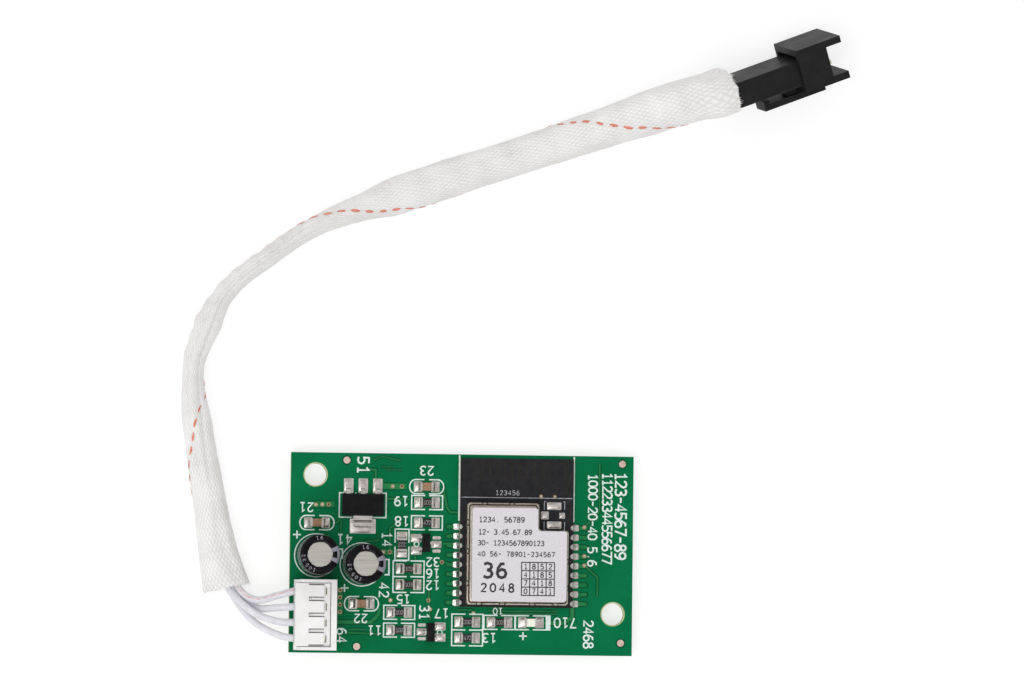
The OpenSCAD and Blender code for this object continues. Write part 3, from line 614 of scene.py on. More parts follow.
cuff_start = [CUFF - 0.5 * k for k in range(CUFF_RINGS)]
cuff_end = [sleeve_length - 0.5 * k for k in range(CUFF_RINGS)]
all_rings = [sleeve_ring(run, -WALL) for run in cuff_start]
all_rings += [sleeve_ring(run) for run in sleeve_run]
all_rings += [sleeve_ring(run, -WALL) for run in cuff_end]
runs = cuff_start + sleeve_run + cuff_end
points, faces = skin(all_rings, closed_ends=False)
uv = []
for k in range(len(all_rings) - 1):
    for i in range(AROUND):
        left_u, right_u = i / AROUND, (i + 1) / AROUND
        uv += [(left_u, runs[k]), (right_u, runs[k]), (right_u, runs[k + 1]), (left_u, runs[k + 1])]
sleeve = new_piece("woven_sleeve", points, faces, braid_finish, smooth=True, uv=uv,
    stands_for=["braided_sleeve"])
print(sleeve.name, len(faces), "faces")

# %% [markdown]
# One coloured yarn is woven into the sleeve. It winds slowly round the tube and
# shows only where it passes over the white ones, so it reads as a row of short
# red dashes. Each dash is a small crowned lozenge that lies on the sleeve.

# %% Tracer thread
TRACER_TURN = [
    (0, -40), (14, -15), (20, 20), (21.8, 45), (24.2, 61), (26.2, 78), (28.4, 106), (30.5, 158),
    (33, 200), (66, 380), (67.6, 407), (70.2, 434), (72.4, 456), (74.4, 478), (76.4, 492), (79.9, 500),
    (84, 545), (106, 715), (108.5, 752), (110.9, 764), (113, 777), (115, 797), (117.4, 816),
    (118.9, 830), (121.1, 842), (122.9, 856), (124.8, 869), (127, 886), (131, 920), (138, 990),
]
tracer_finish = speckled(
    "tracer_thread", (0.72, 0.20, 0.11), 0.6, (3000.0, 3.0),
    [(0.3, (0.58, 0.10, 0.055)), (0.65, (0.78, 0.30, 0.20))], bump=(6000.0, 2.0, 0.03), sheen=0.1)
points, faces = [], []
DASH_PITCH, MEAN_HEIGHT = 2.1, 4.4
dash = 20.0 - DASH_PITCH * 8
while dash < sleeve_length - 2:
    long_half, wide_half = random.uniform(0.55, 0.72), random.uniform(0.19, 0.26)
    first = len(points)
    for j in range(7):
        t = j / 3 - 1
        run = dash + long_half * t
        radius = 0.5 * (step_in(WIDTHS, run) + MEAN_HEIGHT) / 2
        for across, lift in ((-1, 0.02), (-0.5, 0.075), (0.5, 0.075), (1, 0.02)):
            half = wide_half * math.sqrt(max(1 - t * t, 0.06))
            angle = math.radians(step_in(TRACER_TURN, run)) + across * half / radius
            points.append(sleeve_point(run, angle, lift + 0.02))
    faces += [(p, p + 1, p + 5, p + 4) for p in (first + 4 * j + i for j in range(6) for i in range(3))]
    dash += DASH_PITCH
tracer = new_piece("tracer_thread", points, faces, tracer_finish, smooth=True)
print(tracer.name, len(faces) // 18, "dashes")

# %% [markdown]
# Where the sleeve was cut, loose ends of glass yarn stand out of both mouths.
# They are what makes a cut textile look cut. Each one is a thin tapered spike
# with a slight bend, and its length and lean are drawn at random from a seed.

# %% Frayed ends
THIRDS = (0, 2.094, 4.189)
points, faces = [], []
for mouth, outwards, count in ((0.0, -1, 210), (sleeve_length, 1, 110)):
    for _ in range(count):
        angle = random.uniform(0, 2 * math.pi)
        _, along, side, over, *_ = sleeve_frame(mouth)
        root = sleeve_point(mouth - outwards * 0.25, angle, -0.08)
        out = (side * math.cos(angle) + over * math.sin(angle)).normalized()
        lean = along * outwards + out * random.uniform(-0.15, 0.45) + side * random.gauss(0, 0.25)
        reach = random.uniform(0.3, 0.95) + (0.5 if random.random() < 0.08 else 0)
        reach *= 1.0 if outwards < 0 else 0.55
        bow = Vector((random.gauss(0, 0.12), random.gauss(0, 0.12), random.gauss(0, 0.08)))
        first = len(points)
        across = lean.cross(UP).normalized()
        over_fibre = lean.cross(across).normalized()
        for t, r in ((0, 0.045), (0.5, 0.035), (1, 0.012)):
            centre = root + lean * reach * t + bow * t * t
            centre.z = max(centre.z, 0.1)
            points += [centre + (across * math.cos(a) + over_fibre * math.sin(a)) * r for a in THIRDS]
        for low in (first, first + 3):
            faces += [(low + i, low + (i + 1) % 3, low + 3 + (i + 1) % 3, low + 3 + i) for i in range(3)]
        faces.append((first + 6, first + 7, first + 8))
fray_finish = speckled(
    "loose_glass_yarn", grey(0.9), 0.55, (1500.0, 2.0), [(0.3, grey(0.82)), (0.7, grey(0.93))],
    sheen=0.1)
fray = new_piece("sleeve_fray", points, faces, fray_finish)
print(fray.name, len(faces) // 7, "fibres")

# %% [markdown]
# ## The carrier board
# A circuit board is glass-epoxy laminate with a glossy green mask on both
# faces. On its cut edges and inside its holes the yellowish laminate shows, in
# thin layers. One finish does both: it looks at which way the surface faces.

# %% Green mask over laminate
TOP, MODULE_TOP, LABEL_TOP, CAN_TOP = 3.0, 3.8, 6.6, 14.0


def facing_up(tree):
    """1 where the surface faces straight up or down, 0 on the sides."""
    parts = tree.nodes.new("ShaderNodeSeparateXYZ")
    tree.links.new(tree.nodes.new("ShaderNodeNewGeometry").outputs["Normal"], parts.inputs["Vector"])
    return calc(tree, "GREATER_THAN", calc(tree, "ABSOLUTE", parts.outputs["Z"]), 0.6)


def laminate(tree):
    layers = cloud(tree, 1.0, 2.0, stretched(tree, (400.0, 400.0, 9000.0)))
    return shades(tree, layers, [(0.3, (0.22, 0.25, 0.07)), (0.55, (0.42, 0.44, 0.17)),
        (0.75, (0.56, 0.55, 0.30))])


mask_finish, tree, shader = new_finish("green_solder_mask", (0.0, 0.13, 0.045), 0.36, specular=0.05)
clouded = cloud(tree, 120.0, 4.0)
speck = cloud(tree, 2600.0, 2.0)
tone = calc(tree, "MULTIPLY_ADD", speck, 0.25, calc(tree, "MULTIPLY", clouded, 0.75))
green = shades(tree, tone, [(0.3, (0.0, 0.118, 0.040)), (0.55, (0.0, 0.150, 0.053)),
    (0.75, (0.002, 0.178, 0.066))])
tree.links.new(blend_colours(tree, facing_up(tree), laminate(tree), green), shader.inputs["Base Color"])
raise_by(tree, shader, calc(tree, "MULTIPLY_ADD", cloud(tree, 350.0, 2.0), 3.0, cloud(tree, 4200.0, 2.0)),
    0.006)
vary_roughness(tree, shader, clouded, 0.22, 0.42)
dress("circuit_board", mask_finish, 0.12, 2)

# %% [markdown]
# Everything that is printed or etched on a board is flat and thin: tracks,
# pads, white legend. `Sheet` collects such outlines in millimetres, as strips,
# plates, discs and rings, and turns them into one mesh per finish. The layers
# lie a few hundredths of a millimetre over each other, as the real ones do, and
# each face gets a hair's breadth of its own, because two faces in exactly the
# same plane would shade each other black.

# %% Flat artwork
LAYERS, HAIR = 10, 0.00015


def circle(x, y, radius, n):
    turns = [2 * math.pi * k / n for k in range(n)]
    return [(x + radius * math.cos(turn), y + radius * math.sin(turn)) for turn in turns]


class Sheet:
    """Flat outlines that become one mesh. `lay` may bend them onto another surface."""

    def __init__(self):
        self.points, self.faces, self.kinds = [], [], []
        self.lay = None
        self.layer = 0

    def face(self, outline, z, kind=0):
        first = len(self.points)
        self.layer = (self.layer + 1) % LAYERS
        z += self.layer * HAIR
        self.points += [self.lay(x, y, z) if self.lay else (x, y, z) for x, y in outline]
        self.faces.append(tuple(range(first, first + len(outline))))
        self.kinds.append(kind)

    def strip(self, line, width, z, kind=0, closed=False):
        """A band along a line, with mitred corners."""
        line = [Vector(p) for p in line]
        n = len(line)
        left, right = [], []
        for k, here in enumerate(line):
            before = line[k - 1] if k or closed else None
            after = line[(k + 1) % n] if k < n - 1 or closed else None
            a = ((here - before) if before is not None else (after - here)).normalized()
            b = (after - here).normalized() if after is not None else a
            square = Vector((-a.y, a.x))
            across = Vector((-(a + b).y, (a + b).x)).normalized() if (a + b).length > 0.1 else square
            stretch = min(1 / max(across.dot(square), 0.5), 1.6)
            left.append(here + across * width / 2 * stretch)
            right.append(here - across * width / 2 * stretch)
        for k in range(n if closed else n - 1):
            j = (k + 1) % n
            self.face([left[k], right[k], right[j], left[j]], z, kind)

    def plate(self, x, y, wide, high, z, kind=0, turn=0, corner=0.12):
        """A rectangle with round corners."""
        a, b = wide / 2, high / 2
        c, s = math.cos(math.radians(turn)), math.sin(math.radians(turn))
        outline = []
        for cx, cy, start in ((a, b, 0), (-a, b, 90), (-a, -b, 180), (a, -b, 270)):
            for step in range(4):
                t = math.radians(start + 30 * step)
                px = cx - math.copysign(corner, cx) + corner * math.cos(t)
                py = cy - math.copysign(corner, cy) + corner * math.sin(t)
                outline.append((x + px * c - py * s, y + px * s + py * c))
        self.face(outline, z, kind)

    def disc(self, x, y, radius, z, kind=0, n=28):
        self.face(circle(x, y, radius, n), z, kind)

    def ring(self, x, y, inner, outer, z, kind=0, n=40):
        self.strip(circle(x, y, (inner + outer) / 2, n), outer - inner, z, kind, closed=True)

    def crown(self, x, y, wide, high, z, rise, turn=0, toe=0.0, kind=0, n=8):
        """A soldered pad: a cushion that may climb towards its -x side."""
        c, s = math.cos(math.radians(turn)), math.sin(math.radians(turn))
        first = len(self.points)
        for j in range(n + 1):
            for i in range(n + 1):
                u, v = 2 * i / n - 1, 2 * j / n - 1
                px, py = wide / 2 * u * (1 - 0.06 * v * v), high / 2 * v * (1 - 0.05 * u * u)
                climb = toe * math.exp(-(u + 1) * 2.6) * (1 - v ** 6)
                lift = rise * (1 - u ** 4) * (1 - v ** 4) + climb
                self.points.append((x + px * c - py * s, y + px * s + py * c, z + lift))
        corners = [first + j * (n + 1) + i for j in range(n) for i in range(n)]
        self.faces += [(p, p + 1, p + n + 2, p + n + 1) for p in corners]
        self.kinds += [kind] * (n * n)

    def words(self, text, x, y, size, z, turn=0, advance=0.82, weight=0.15, kind=0):
        """Plain numbers in single strokes, centred on (x, y)."""
        c, s = math.cos(math.radians(turn)), math.sin(math.radians(turn))
        start = -(len(text) - 1) * advance * size / 2
        for k, sign in enumerate(text):
            for stroke in FIGURES.get(sign, []):
                line = []
                for a, b in stroke:
                    px, py = start + k * advance * size + (a - 0.3) * size, (b - 0.5) * size
                    line.append((x + px * c - py * s, y + px * s + py * c))
                self.strip(line, weight * size, z, kind)

    def make(self, name, finishes, smooth=False):
        new_piece(name, self.points, self.faces, finishes, smooth=smooth, finish_of=self.kinds)
        print(name, len(self.faces), "faces")


FIGURES = {
    "0": [[(0.3, 0), (0.08, 0.12), (0, 0.35), (0, 0.65), (0.08, 0.88), (0.3, 1), (0.52, 0.88), (0.6, 0.65),
        (0.6, 0.35), (0.52, 0.12), (0.3, 0)]],
    "1": [[(0.1, 0.78), (0.33, 1), (0.33, 0)], [(0.1, 0), (0.56, 0)]],
    "2": [[(0.02, 0.78), (0.12, 0.95), (0.3, 1), (0.5, 0.94), (0.58, 0.74), (0.5, 0.55), (0.02, 0.03),
        (0.6, 0.03)]],
    "3": [[(0.04, 0.9), (0.25, 1), (0.5, 0.92), (0.56, 0.74), (0.46, 0.57), (0.24, 0.52)],
        [(0.24, 0.52), (0.5, 0.45), (0.6, 0.26), (0.5, 0.07), (0.26, 0), (0, 0.1)]],
    "4": [[(0.44, 0), (0.44, 1), (0, 0.3), (0.6, 0.3)]],
    "5": [[(0.55, 1), (0.08, 1), (0.05, 0.55), (0.3, 0.62), (0.54, 0.5), (0.6, 0.3), (0.5, 0.08), (0.25, 0),
        (0, 0.08)]],
    "6": [[(0.5, 0.95), (0.25, 0.95), (0.05, 0.65), (0, 0.3), (0.1, 0.07), (0.3, 0), (0.52, 0.08),
        (0.6, 0.3), (0.5, 0.52), (0.3, 0.58), (0.05, 0.42)]],
    "7": [[(0, 1), (0.6, 1), (0.22, 0)]],
    "8": [[(0.3, 0.54), (0.1, 0.64), (0.06, 0.8), (0.14, 0.95), (0.3, 1), (0.46, 0.95), (0.54, 0.8),
        (0.5, 0.64), (0.3, 0.54), (0.08, 0.43), (0, 0.25), (0.1, 0.05), (0.3, 0), (0.5, 0.05), (0.6, 0.25),
        (0.52, 0.43), (0.3, 0.54)]],
    "9": [[(0.1, 0.05), (0.35, 0.05), (0.55, 0.35), (0.6, 0.7), (0.5, 0.93), (0.3, 1), (0.08, 0.92),
        (0, 0.7), (0.1, 0.48), (0.3, 0.42), (0.55, 0.58)]],
    "-": [[(0.06, 0.5), (0.54, 0.5)]], "+": [[(0, 0.5), (0.6, 0.5)], [(0.3, 0.2), (0.3, 0.8)]],
    ".": [[(0.24, 0.05), (0.36, 0.05)]],
}
print("figures:", "".join(FIGURES))

# %% [markdown]
# Under the mask the copper shows as a lighter green and the gaps beside it as
# a darker one. The tracks are drawn twice: a wide dark band for the gap, and
# the narrow light one on it. Five levels a few microns apart keep the layers
# in order. Rows of through-plated vias sit on short wide tracks; they are gold
# rings with a solder-filled middle, or with an open middle drawn as a flat
# disc painted dark as the shade inside the bore.

# %% Tracks and vias
gap_finish = speckled(
    "mask_over_laminate", (0.0, 0.07, 0.028), 0.36, (700.0, 2.0),
    [(0.3, (0.001, 0.066, 0.026)), (0.7, (0.003, 0.090, 0.036))], specular=0.05)
track_finish = speckled(
    "mask_over_copper", (0.03, 0.19, 0.06), 0.34, (500.0, 2.0),
    [(0.3, (0.008, 0.165, 0.050)), (0.7, (0.028, 0.205, 0.068))], specular=0.06)
gold_finish = speckled(
    "gold_plating", (0.34, 0.25, 0.12), 0.34, (2000.0, 2.0),
    [(0.3, (0.22, 0.155, 0.07)), (0.7, (0.46, 0.36, 0.20))], metallic=1.0)
# A flat dark disc stands for an open via bore: painted shade where the hole is.
open_via_shade = speckled(
    "painted_via_bore_shade", (0.03, 0.025, 0.015), 0.6, (3000.0, 2.0),
    [(0.3, (0.015, 0.02, 0.01)), (0.7, (0.06, 0.045, 0.025))])

GAP_Z, COPPER_Z, PAD_Z, FILL_Z, METAL_Z = [TOP + lift for lift in (0.006, 0.012, 0.014, 0.016, 0.018)]
TRACKS = [
    (0.30, [(-3.07, 10.9), (-2.8, 9.2), (-2.5, 7.5), (-1.95, 6.62), (-0.74, 6.62)]),
    (0.22, [(-13.35, 3.1), (-13.3, 1.95), (-15.8, 1.8)]), (0.22, [(-19.2, 5.2), (-19.2, 3.2)]),
    (0.30, [(-12.0, 8.6), (-8.4, 8.62)]), (0.12, [(-14.2, 14.7), (-12.8, 15.3), (-9.8, 14.8)]),
    (0.12, [(-13.0, 13.64), (-11.0, 13.66)]), (0.12, [(-12.3, 13.2), (-9.5, 13.2)]),
    (0.12, [(-11.7, 15.0), (-9.97, 14.6)]),
    (0.55, [(-19.8, -10.95), (-14.3, -10.9), (-13.1, -9.7), (-12.9, -8.6)]),
    (0.25, [(-17.7, -12.08), (-15.1, -12.05)]), (0.25, [(-17.9, -12.6), (-12.6, -12.74)]),
    (0.35, [(-7.4, 0.1), (-7.4, -1.2)]), (0.25, [(-5.15, -5.8), (-5.13, -8.6), (-4.9, -10.4)]),
    (0.30, [(-3.0, 1.64), (-1.2, 1.65)]), (0.25, [(-2.9, -1.2), (-1.1, -1.83)]),
    (0.60, [(17.66, -8.2), (17.66, -9.8), (16.2, -10.7), (13.2, -10.7)]),
    (0.20, [(4.4, -8.9), (8.2, -8.9), (15.3, -8.85)]), (0.20, [(5.0, -9.35), (15.2, -9.3)]),
    (0.25, [(1.95, -9.3), (1.6, -8.8), (-0.6, -8.8)]),
    (0.28, [(-8.9, 4.9), (-10.2, 4.9), (-11.4, 4.0), (-11.4, 0.3)]),
    (0.22, [(-6.9, -4.9), (-3.6, -4.7)]), (0.30, [(-13.8, 10.6), (-13.8, 13.2), (-16.4, 13.2)]),
    (0.25, [(-21.6, 4.7), (-19.9, 4.7), (-19.4, 5.4)]),
    (0.22, [(19.5, -1.5), (21.6, -3.4), (21.6, -6.4)]),
    (0.22, [(19.4, 4.5), (21.8, 7.0), (21.8, 14.6)]), (0.22, [(-8.2, -12.1), (-6.9, -12.3)]),
    (0.22, [(-2.7, -13.2), (-0.6, -13.2)]), (0.25, [(2.6, -10.7), (4.6, -10.7)]),
]
WIDE_TRACKS = [
    [(-23.9, 7.59), (-20.3, 7.63)], [(-12.6, 10.6), (-8.9, 10.62)], [(-19.18, -5.4), (-19.18, -9.9)],
    [(-13.1, 0.2), (-10.9, 0.22)], [(-7.4, 3.0), (-7.2, 0.3)],
]
VIAS = [
    (-23.19, 7.58, 1), (-22.19, 7.59, 1), (-21.19, 7.60, 0), (-11.09, 10.59, 1), (-9.63, 10.60, 0),
    (-19.19, -5.92, 0), (-19.19, -7.03, 0), (-19.19, -8.19, 0), (-19.19, -9.32, 0), (-12.42, 0.21, 1),
    (-11.42, 0.22, 0), (-11.22, -7.40, 1), (-5.20, -7.33, 0), (-3.14, -1.29, 0), (19.43, 4.51, 1),
    (19.48, -0.03, 1), (19.50, -1.54, 1), (1.96, -9.31, 1), (-4.95, -8.75, 1),
]
PAD_ROWS = [-7.65 + 1.5 * k for k in range(9)]
tracks = Sheet()
for width, line in TRACKS:
    tracks.strip(line, width + 0.36, GAP_Z, 0)
    tracks.strip(line, width, COPPER_Z, 1)
for line in WIDE_TRACKS:
    tracks.strip(line, 1.25, GAP_Z, 0)
    tracks.strip(line, 0.92, COPPER_Z, 1)
for y in PAD_ROWS:
    for x, s in ((-1.15, -1), (18.65, 1)):
        tracks.strip([(x, y), (x + s * 1.15, y)], 0.95, GAP_Z, 0)
        tracks.disc(x + s * 1.1, y, 0.47, TOP + 0.0065, 0)
        tracks.strip([(x - s * 0.2, y), (x + s * 1.05, y)], 0.58, COPPER_Z, 1)
        tracks.disc(x + s * 1.02, y, 0.29, TOP + 0.0125, 1)
for x, y, filled in VIAS:
    tracks.ring(x, y, 0.17, 0.33, METAL_Z, 2, n=20)
    # Open vias get the disc of painted bore shade, filled ones get tin.
    tracks.disc(x, y, 0.18, FILL_Z, 4 if filled else 3, n=16)
tin_finish = speckled(
    "tinned_pad", (0.52, 0.48, 0.45), 0.32, (1100.0, 3.0),
    [(0.25, (0.40, 0.365, 0.34)), (0.6, (0.56, 0.52, 0.49))], bump=(1300.0, 2.0, 0.02), metallic=1.0)
tracks.make("board_tracks", [gap_finish, track_finish, gold_finish, open_via_shade, tin_finish])

# %% [markdown]
# The two mounting holes are drilled through the mask, which leaves a thin pale
# ring where the laminate starts. Four round tinned spots near the corners are
# the marks that a placing machine looks for, each in its own dark clearance.

# %% Hole rims and placing marks
rims = Sheet()
for x, y in ((-23.3, 12.3), (24.1, -9.2)):
    rims.ring(x, y, 1.755, 1.93, TOP + 0.01, 0, n=64)
for x, y in ((-18.38, 14.65), (-16.47, -14.76), (25.41, 14.60), (25.40, -13.77)):
    rims.disc(x, y, 0.78, TOP + 0.007, 1)
    rims.disc(x, y, 0.55, FILL_Z, 2)
rim_finish = speckled(
    "bare_laminate", (0.5, 0.5, 0.25), 0.5, (900.0, 3.0),
    [(0.3, (0.30, 0.36, 0.13)), (0.7, (0.62, 0.62, 0.36))])
mark_finish = speckled(
    "placing_mark", (0.40, 0.38, 0.28), 0.45, (1200.0, 3.0),
    [(0.3, (0.46, 0.36, 0.29)), (0.7, (0.66, 0.52, 0.44))], metallic=0.6)
rims.make("board_marks", [rim_finish, gap_finish, mark_finish])

# %% [markdown]
# ## Legend
# The white print gives each part its outline and its number. Resistors have a
# broken rectangle, capacitors an outline with round ends, the two tall
# capacitors a circle. The numbers are plain running numbers. Real legend is
# slightly uneven, so its finish, in the next cell, is mottled and a little rough.

# %% Legend
CHIPS = {
    "resistor": [(-9.8, -12.1, 0), (-8.4, -4.9, 0), (1.0, -13.2, 0), (-9.5, 1.4, 90), (-9.8, -9.3, 0),
        (-8.4, -2.4, 0), (1.0, -10.7, 0), (-5.6, 4.9, 0), (-5.6, 8.1, 0), (6.1, -10.7, 0)],
    "ceramic": [(-23.0, 4.7, 0), (-15.8, -8.0, 0), (-5.7, 10.6, 0)],
    "lamp": [(11.1, -10.7, 0)],
}
CANS = [(-23.05, -0.45), (-15.85, -1.8)]
LEGEND_Z = TOP + 0.03
legend = Sheet()


def turned(line, x, y, turn):
    """A line drawn round the origin, turned in degrees and moved to a place."""
    c, s = math.cos(math.radians(turn)), math.sin(math.radians(turn))
    return [(x + a * c - b * s, y + a * s + b * c) for a, b in line]


LINE, BREAK, REACH, BROAD_ONES = 0.20, 0.30, 2.45, (1, 2, 5, 6)
for n, (x, y, turn) in enumerate(CHIPS["resistor"] + CHIPS["lamp"]):
    half = 1.24 if n in BROAD_ONES else 1.1
    for s in (-1, 1):
        bracket = [(s * BREAK, half), (s * REACH, half), (s * REACH, -half), (s * BREAK, -half)]
        legend.strip(turned(bracket, x, y, turn), LINE, LEGEND_Z)
legend.plate(13.85, -10.7, 0.75, 2.4, LEGEND_Z + 0.001, corner=0.05)
for x, y, turn in CHIPS["ceramic"]:
    for s in (-1, 1):
        turns = [math.radians(a) for a in range(0, 181, 15)]
        arc = [(s * (1.75 + 0.95 * math.sin(a)), 1.12 * math.cos(a)) for a in turns]
        legend.strip(turned([(s * 0.36, 1.12)] + arc + [(s * 0.36, -1.12)], x, y, turn), LINE, LEGEND_Z)
for x, y in CANS:
    legend.ring(x, y, 3.32, 3.5, LEGEND_Z, n=72)
legend.strip([(-19.45, 0.57), (-18.92, 0.57), (-18.9, -0.95)], 0.22, LEGEND_Z)
legend.strip([(-12.2, -0.98), (-11.53, -0.97), (-11.51, -3.37), (-12.2, -3.37)], 0.24, LEGEND_Z)
for x, y in ((-26.12, 2.78), (-18.5, -5.55), (9.86, -12.82)):
    legend.words("+", x, y, 2.1, LEGEND_Z, weight=0.11)
legend.strip([(-17.0, 9.49), (-16.8, 9.49)], 0.2, LEGEND_Z)
legend.strip([(-19.49, 9.49), (-19.49, 5.62), (-17.4, 5.62)], 0.20, LEGEND_Z)
legend.strip([(-14.2, 5.62), (-12.09, 5.62), (-12.09, 9.49), (-12.7, 9.49)], 0.20, LEGEND_Z)
legend.strip([(-19.49, 9.40), (-19.49, 9.49), (-18.8, 9.49)], 0.20, LEGEND_Z)
for x in (-0.52, 17.72):
    legend.strip([(x, 15.65), (x, 5.3)], 0.24, LEGEND_Z)
print("outlines:", len(legend.faces), "faces")

# %% [markdown]
# The numbers beside the parts stand upside down or on their side, as the parts
# do. Four longer rows of figures run down the board's right side.
# All of them are plain numbers, and they are set in single strokes.

# %% Legend numbers
NUMBERS = [
    ("51", -15.77, 13.90, -90, 1.75), ("23", -5.68, 13.14, 180, 1.4), ("19", -9.67, 8.26, 180, 1.45),
    ("18", -9.55, 5.08, 180, 1.45), ("14", -11.90, 2.20, -90, 1.45), ("21", -24.66, 7.13, 180, 1.4),
    ("41", -18.57, 2.12, 180, 1.5), ("42", -12.28, -5.82, -90, 1.5), ("32", -4.56, -1.29, 180, 1.4),
    ("16", -4.54, -3.12, 180, 1.4), ("12", -4.52, -4.94, 180, 1.4), ("15", -9.17, -7.22, 180, 1.35),
    ("22", -15.88, -10.31, 180, 1.35), ("64", -18.87, -13.04, -90, 1.5), ("31", -5.82, -9.24, -90, 1.5),
    ("17", -3.04, -9.37, 180, 1.4), ("11", -13.64, -12.19, 180, 1.4), ("13", 4.55, -13.17, 180, 1.4),
    ("10", 5.85, -8.95, 180, 1.0), ("710", 16.58, -10.65, 180, 1.5),
]
for text, x, y, turn, size in NUMBERS:
    legend.words(text, x, y, size, LEGEND_Z, turn, advance=0.86, weight=0.16)
EDGE_ROWS = [
    ("123-4567-89", 25.2, 6.35, 1.75, 0.72), ("11223344556677", 23.05, 5.95, 1.5, 0.69),
    ("1000-20-40 5.6", 20.75, 5.65, 1.42, 0.74), ("2468", 20.25, -12.44, 1.5, 0.76),
]
for text, x, y, size, pace in EDGE_ROWS:
    legend.words(text, x, y, size, LEGEND_Z, -90, advance=pace, weight=0.17)
legend_finish = speckled(
    "white_legend", (0.80, 0.83, 0.81), 0.55, (2200.0, 3.0),
    [(0.28, (0.50, 0.64, 0.59)), (0.5, (0.70, 0.80, 0.77)), (0.8, (0.82, 0.88, 0.86))],
    bump=(5000.0, 2.0, 0.01))
legend.make("white_legend", legend_finish)

# %% [markdown]
# ## Pads and solder
# Each small part sits on two tinned pads that are larger than its ends. Solder
# lies on them as a low shiny cushion that climbs the part's end. `crown` makes
# that shape: a grid whose height falls to nothing at the pad's edge.

# %% Soldered pads
pads = Sheet()
for name, places in CHIPS.items():
    for x, y, turn in places:
        for end in (0, 180):
            t = math.radians(turn + end)
            c, s, toe = math.cos(t), math.sin(t), 0.17 if name == "resistor" else 0.26
            pads.plate(x + 1.38 * c, y + 1.38 * s, 1.30, 1.66, PAD_Z, 0, turn + end)
            rise = 0.10 + random.uniform(-0.02, 0.05)
            pads.crown(x + 1.46 * c, y + 1.46 * s, 1.02, 1.56, METAL_Z, rise, turn + end, toe=toe)
for x in (-18.05, -15.75, -13.45):
    pads.plate(x, 10.62, 1.50, 2.3, PAD_Z, 0)
    pads.crown(x, 10.75, 1.40, 1.95, METAL_Z, 0.10)
pads.plate(-15.75, 4.23, 4.1, 2.3, PAD_Z, 0)
pads.crown(-15.75, 4.15, 3.9, 2.0, METAL_Z, 0.09)
# Two thin dark strips across the regulator's tab are painted shade: one at the bend of the tab's lead, one
# across the solder below it.
for y, z in ((4.90, 0.32), (4.12, 0.125)):
    pads.strip([(-17.15, y), (-14.35, y)], 0.16, TOP + z, 2)
for x, y in ((-7.27, 2.46), (-7.24, 0.50), (-3.29, -11.44), (-3.29, -13.18)):
    pads.plate(x, y, 1.7, 1.25, PAD_Z, 0)
    pads.crown(x, y, 1.6, 1.15, METAL_Z, 0.13)
pads.plate(-4.05, 1.5, 1.6, 1.1, PAD_Z, 0)
pads.crown(-3.95, 1.5, 1.3, 1.0, METAL_Z, 0.14)
pads.plate(-6.25, -12.34, 1.5, 1.1, PAD_Z, 0)
pads.crown(-6.35, -12.34, 1.2, 1.0, METAL_Z, 0.14)
for x, y in ((-4.0, 2.55), (-4.0, 0.45), (-6.2, -11.25), (-6.2, -13.4)):
    pads.plate(x, y, 1.3, 0.5, PAD_Z, 0, corner=0.2)
for x, y in ((-7.2, 1.5), (-3.35, -12.38)):
    pads.ring(x, y, 0.30, 0.46, TOP + 0.034, 1, n=24)
for y in PAD_ROWS:
    for x, turn in ((-0.74, 180), (18.0, 0)):
        pads.plate(x, y, 0.98, 1.02, FILL_Z, 0)
        pads.crown(x, y, 0.92, 0.96, TOP + 0.02, 0.10 + random.uniform(-0.02, 0.06), turn, toe=0.22)
# Painted shade for the two strips on the regulator's tab.
tab_step_shade_finish = speckled(
    "painted_tab_step_shade", (0.15, 0.12, 0.11), 0.5, (1300.0, 3.0),
    [(0.3, (0.09, 0.07, 0.06)), (0.7, (0.24, 0.20, 0.18))], specular=0.2)
pads.make("soldered_pads", [tin_finish, legend_finish, tab_step_shade_finish], smooth=True)

# %% [markdown]
# The solder joints and the leads that go into them are solids already. Joints
# are bright and wavy, leads are duller and slightly drawn out in one direction.

# %% Solder joints and leads
solder_finish = speckled(
    "bright_solder", (0.84, 0.82, 0.79), 0.20, (1100.0, 3.0),
    [(0.3, (0.44, 0.41, 0.385)), (0.65, (0.64, 0.61, 0.58))], bump=(1300.0, 2.0, 0.05), metallic=1.0)
for name in ("module_solder", "chip_solder", "header_joints", "capacitor_joints"):
    dress(name, solder_finish, 0.05, 2)
lead_finish, tree, shader = new_finish("tin_plated_lead", (0.74, 0.72, 0.69), 0.30, metallic=1.0)
paint(
    tree, shader, cloud(tree, 900.0, 3.0, stretched(tree, (1.0, 3.0, 1.0))),
    [(0.3, (0.38, 0.36, 0.335)), (0.7, (0.56, 0.53, 0.50))])
raise_by(tree, shader, cloud(tree, 2600.0, 2.0), 0.015)
LEADS = [
    "regulator_leads", "transistor_1_leads", "transistor_2_leads", "chip_terminals",
    "capacitor_1_leads", "capacitor_2_leads",
]
for name in LEADS:
    dress(name, lead_finish, 0.035, 2)
print("solder and leads done")

# %% [markdown]
# ## Small parts
# The chips are sintered ceramic blocks: the resistors have a black glazed face
# with a pale value code, the capacitors are plain brown, and the lamp is a
# clear resin block over a white base. All share the same idea of a finish: a
# body colour with fine speckle, a little gloss and softened edges.

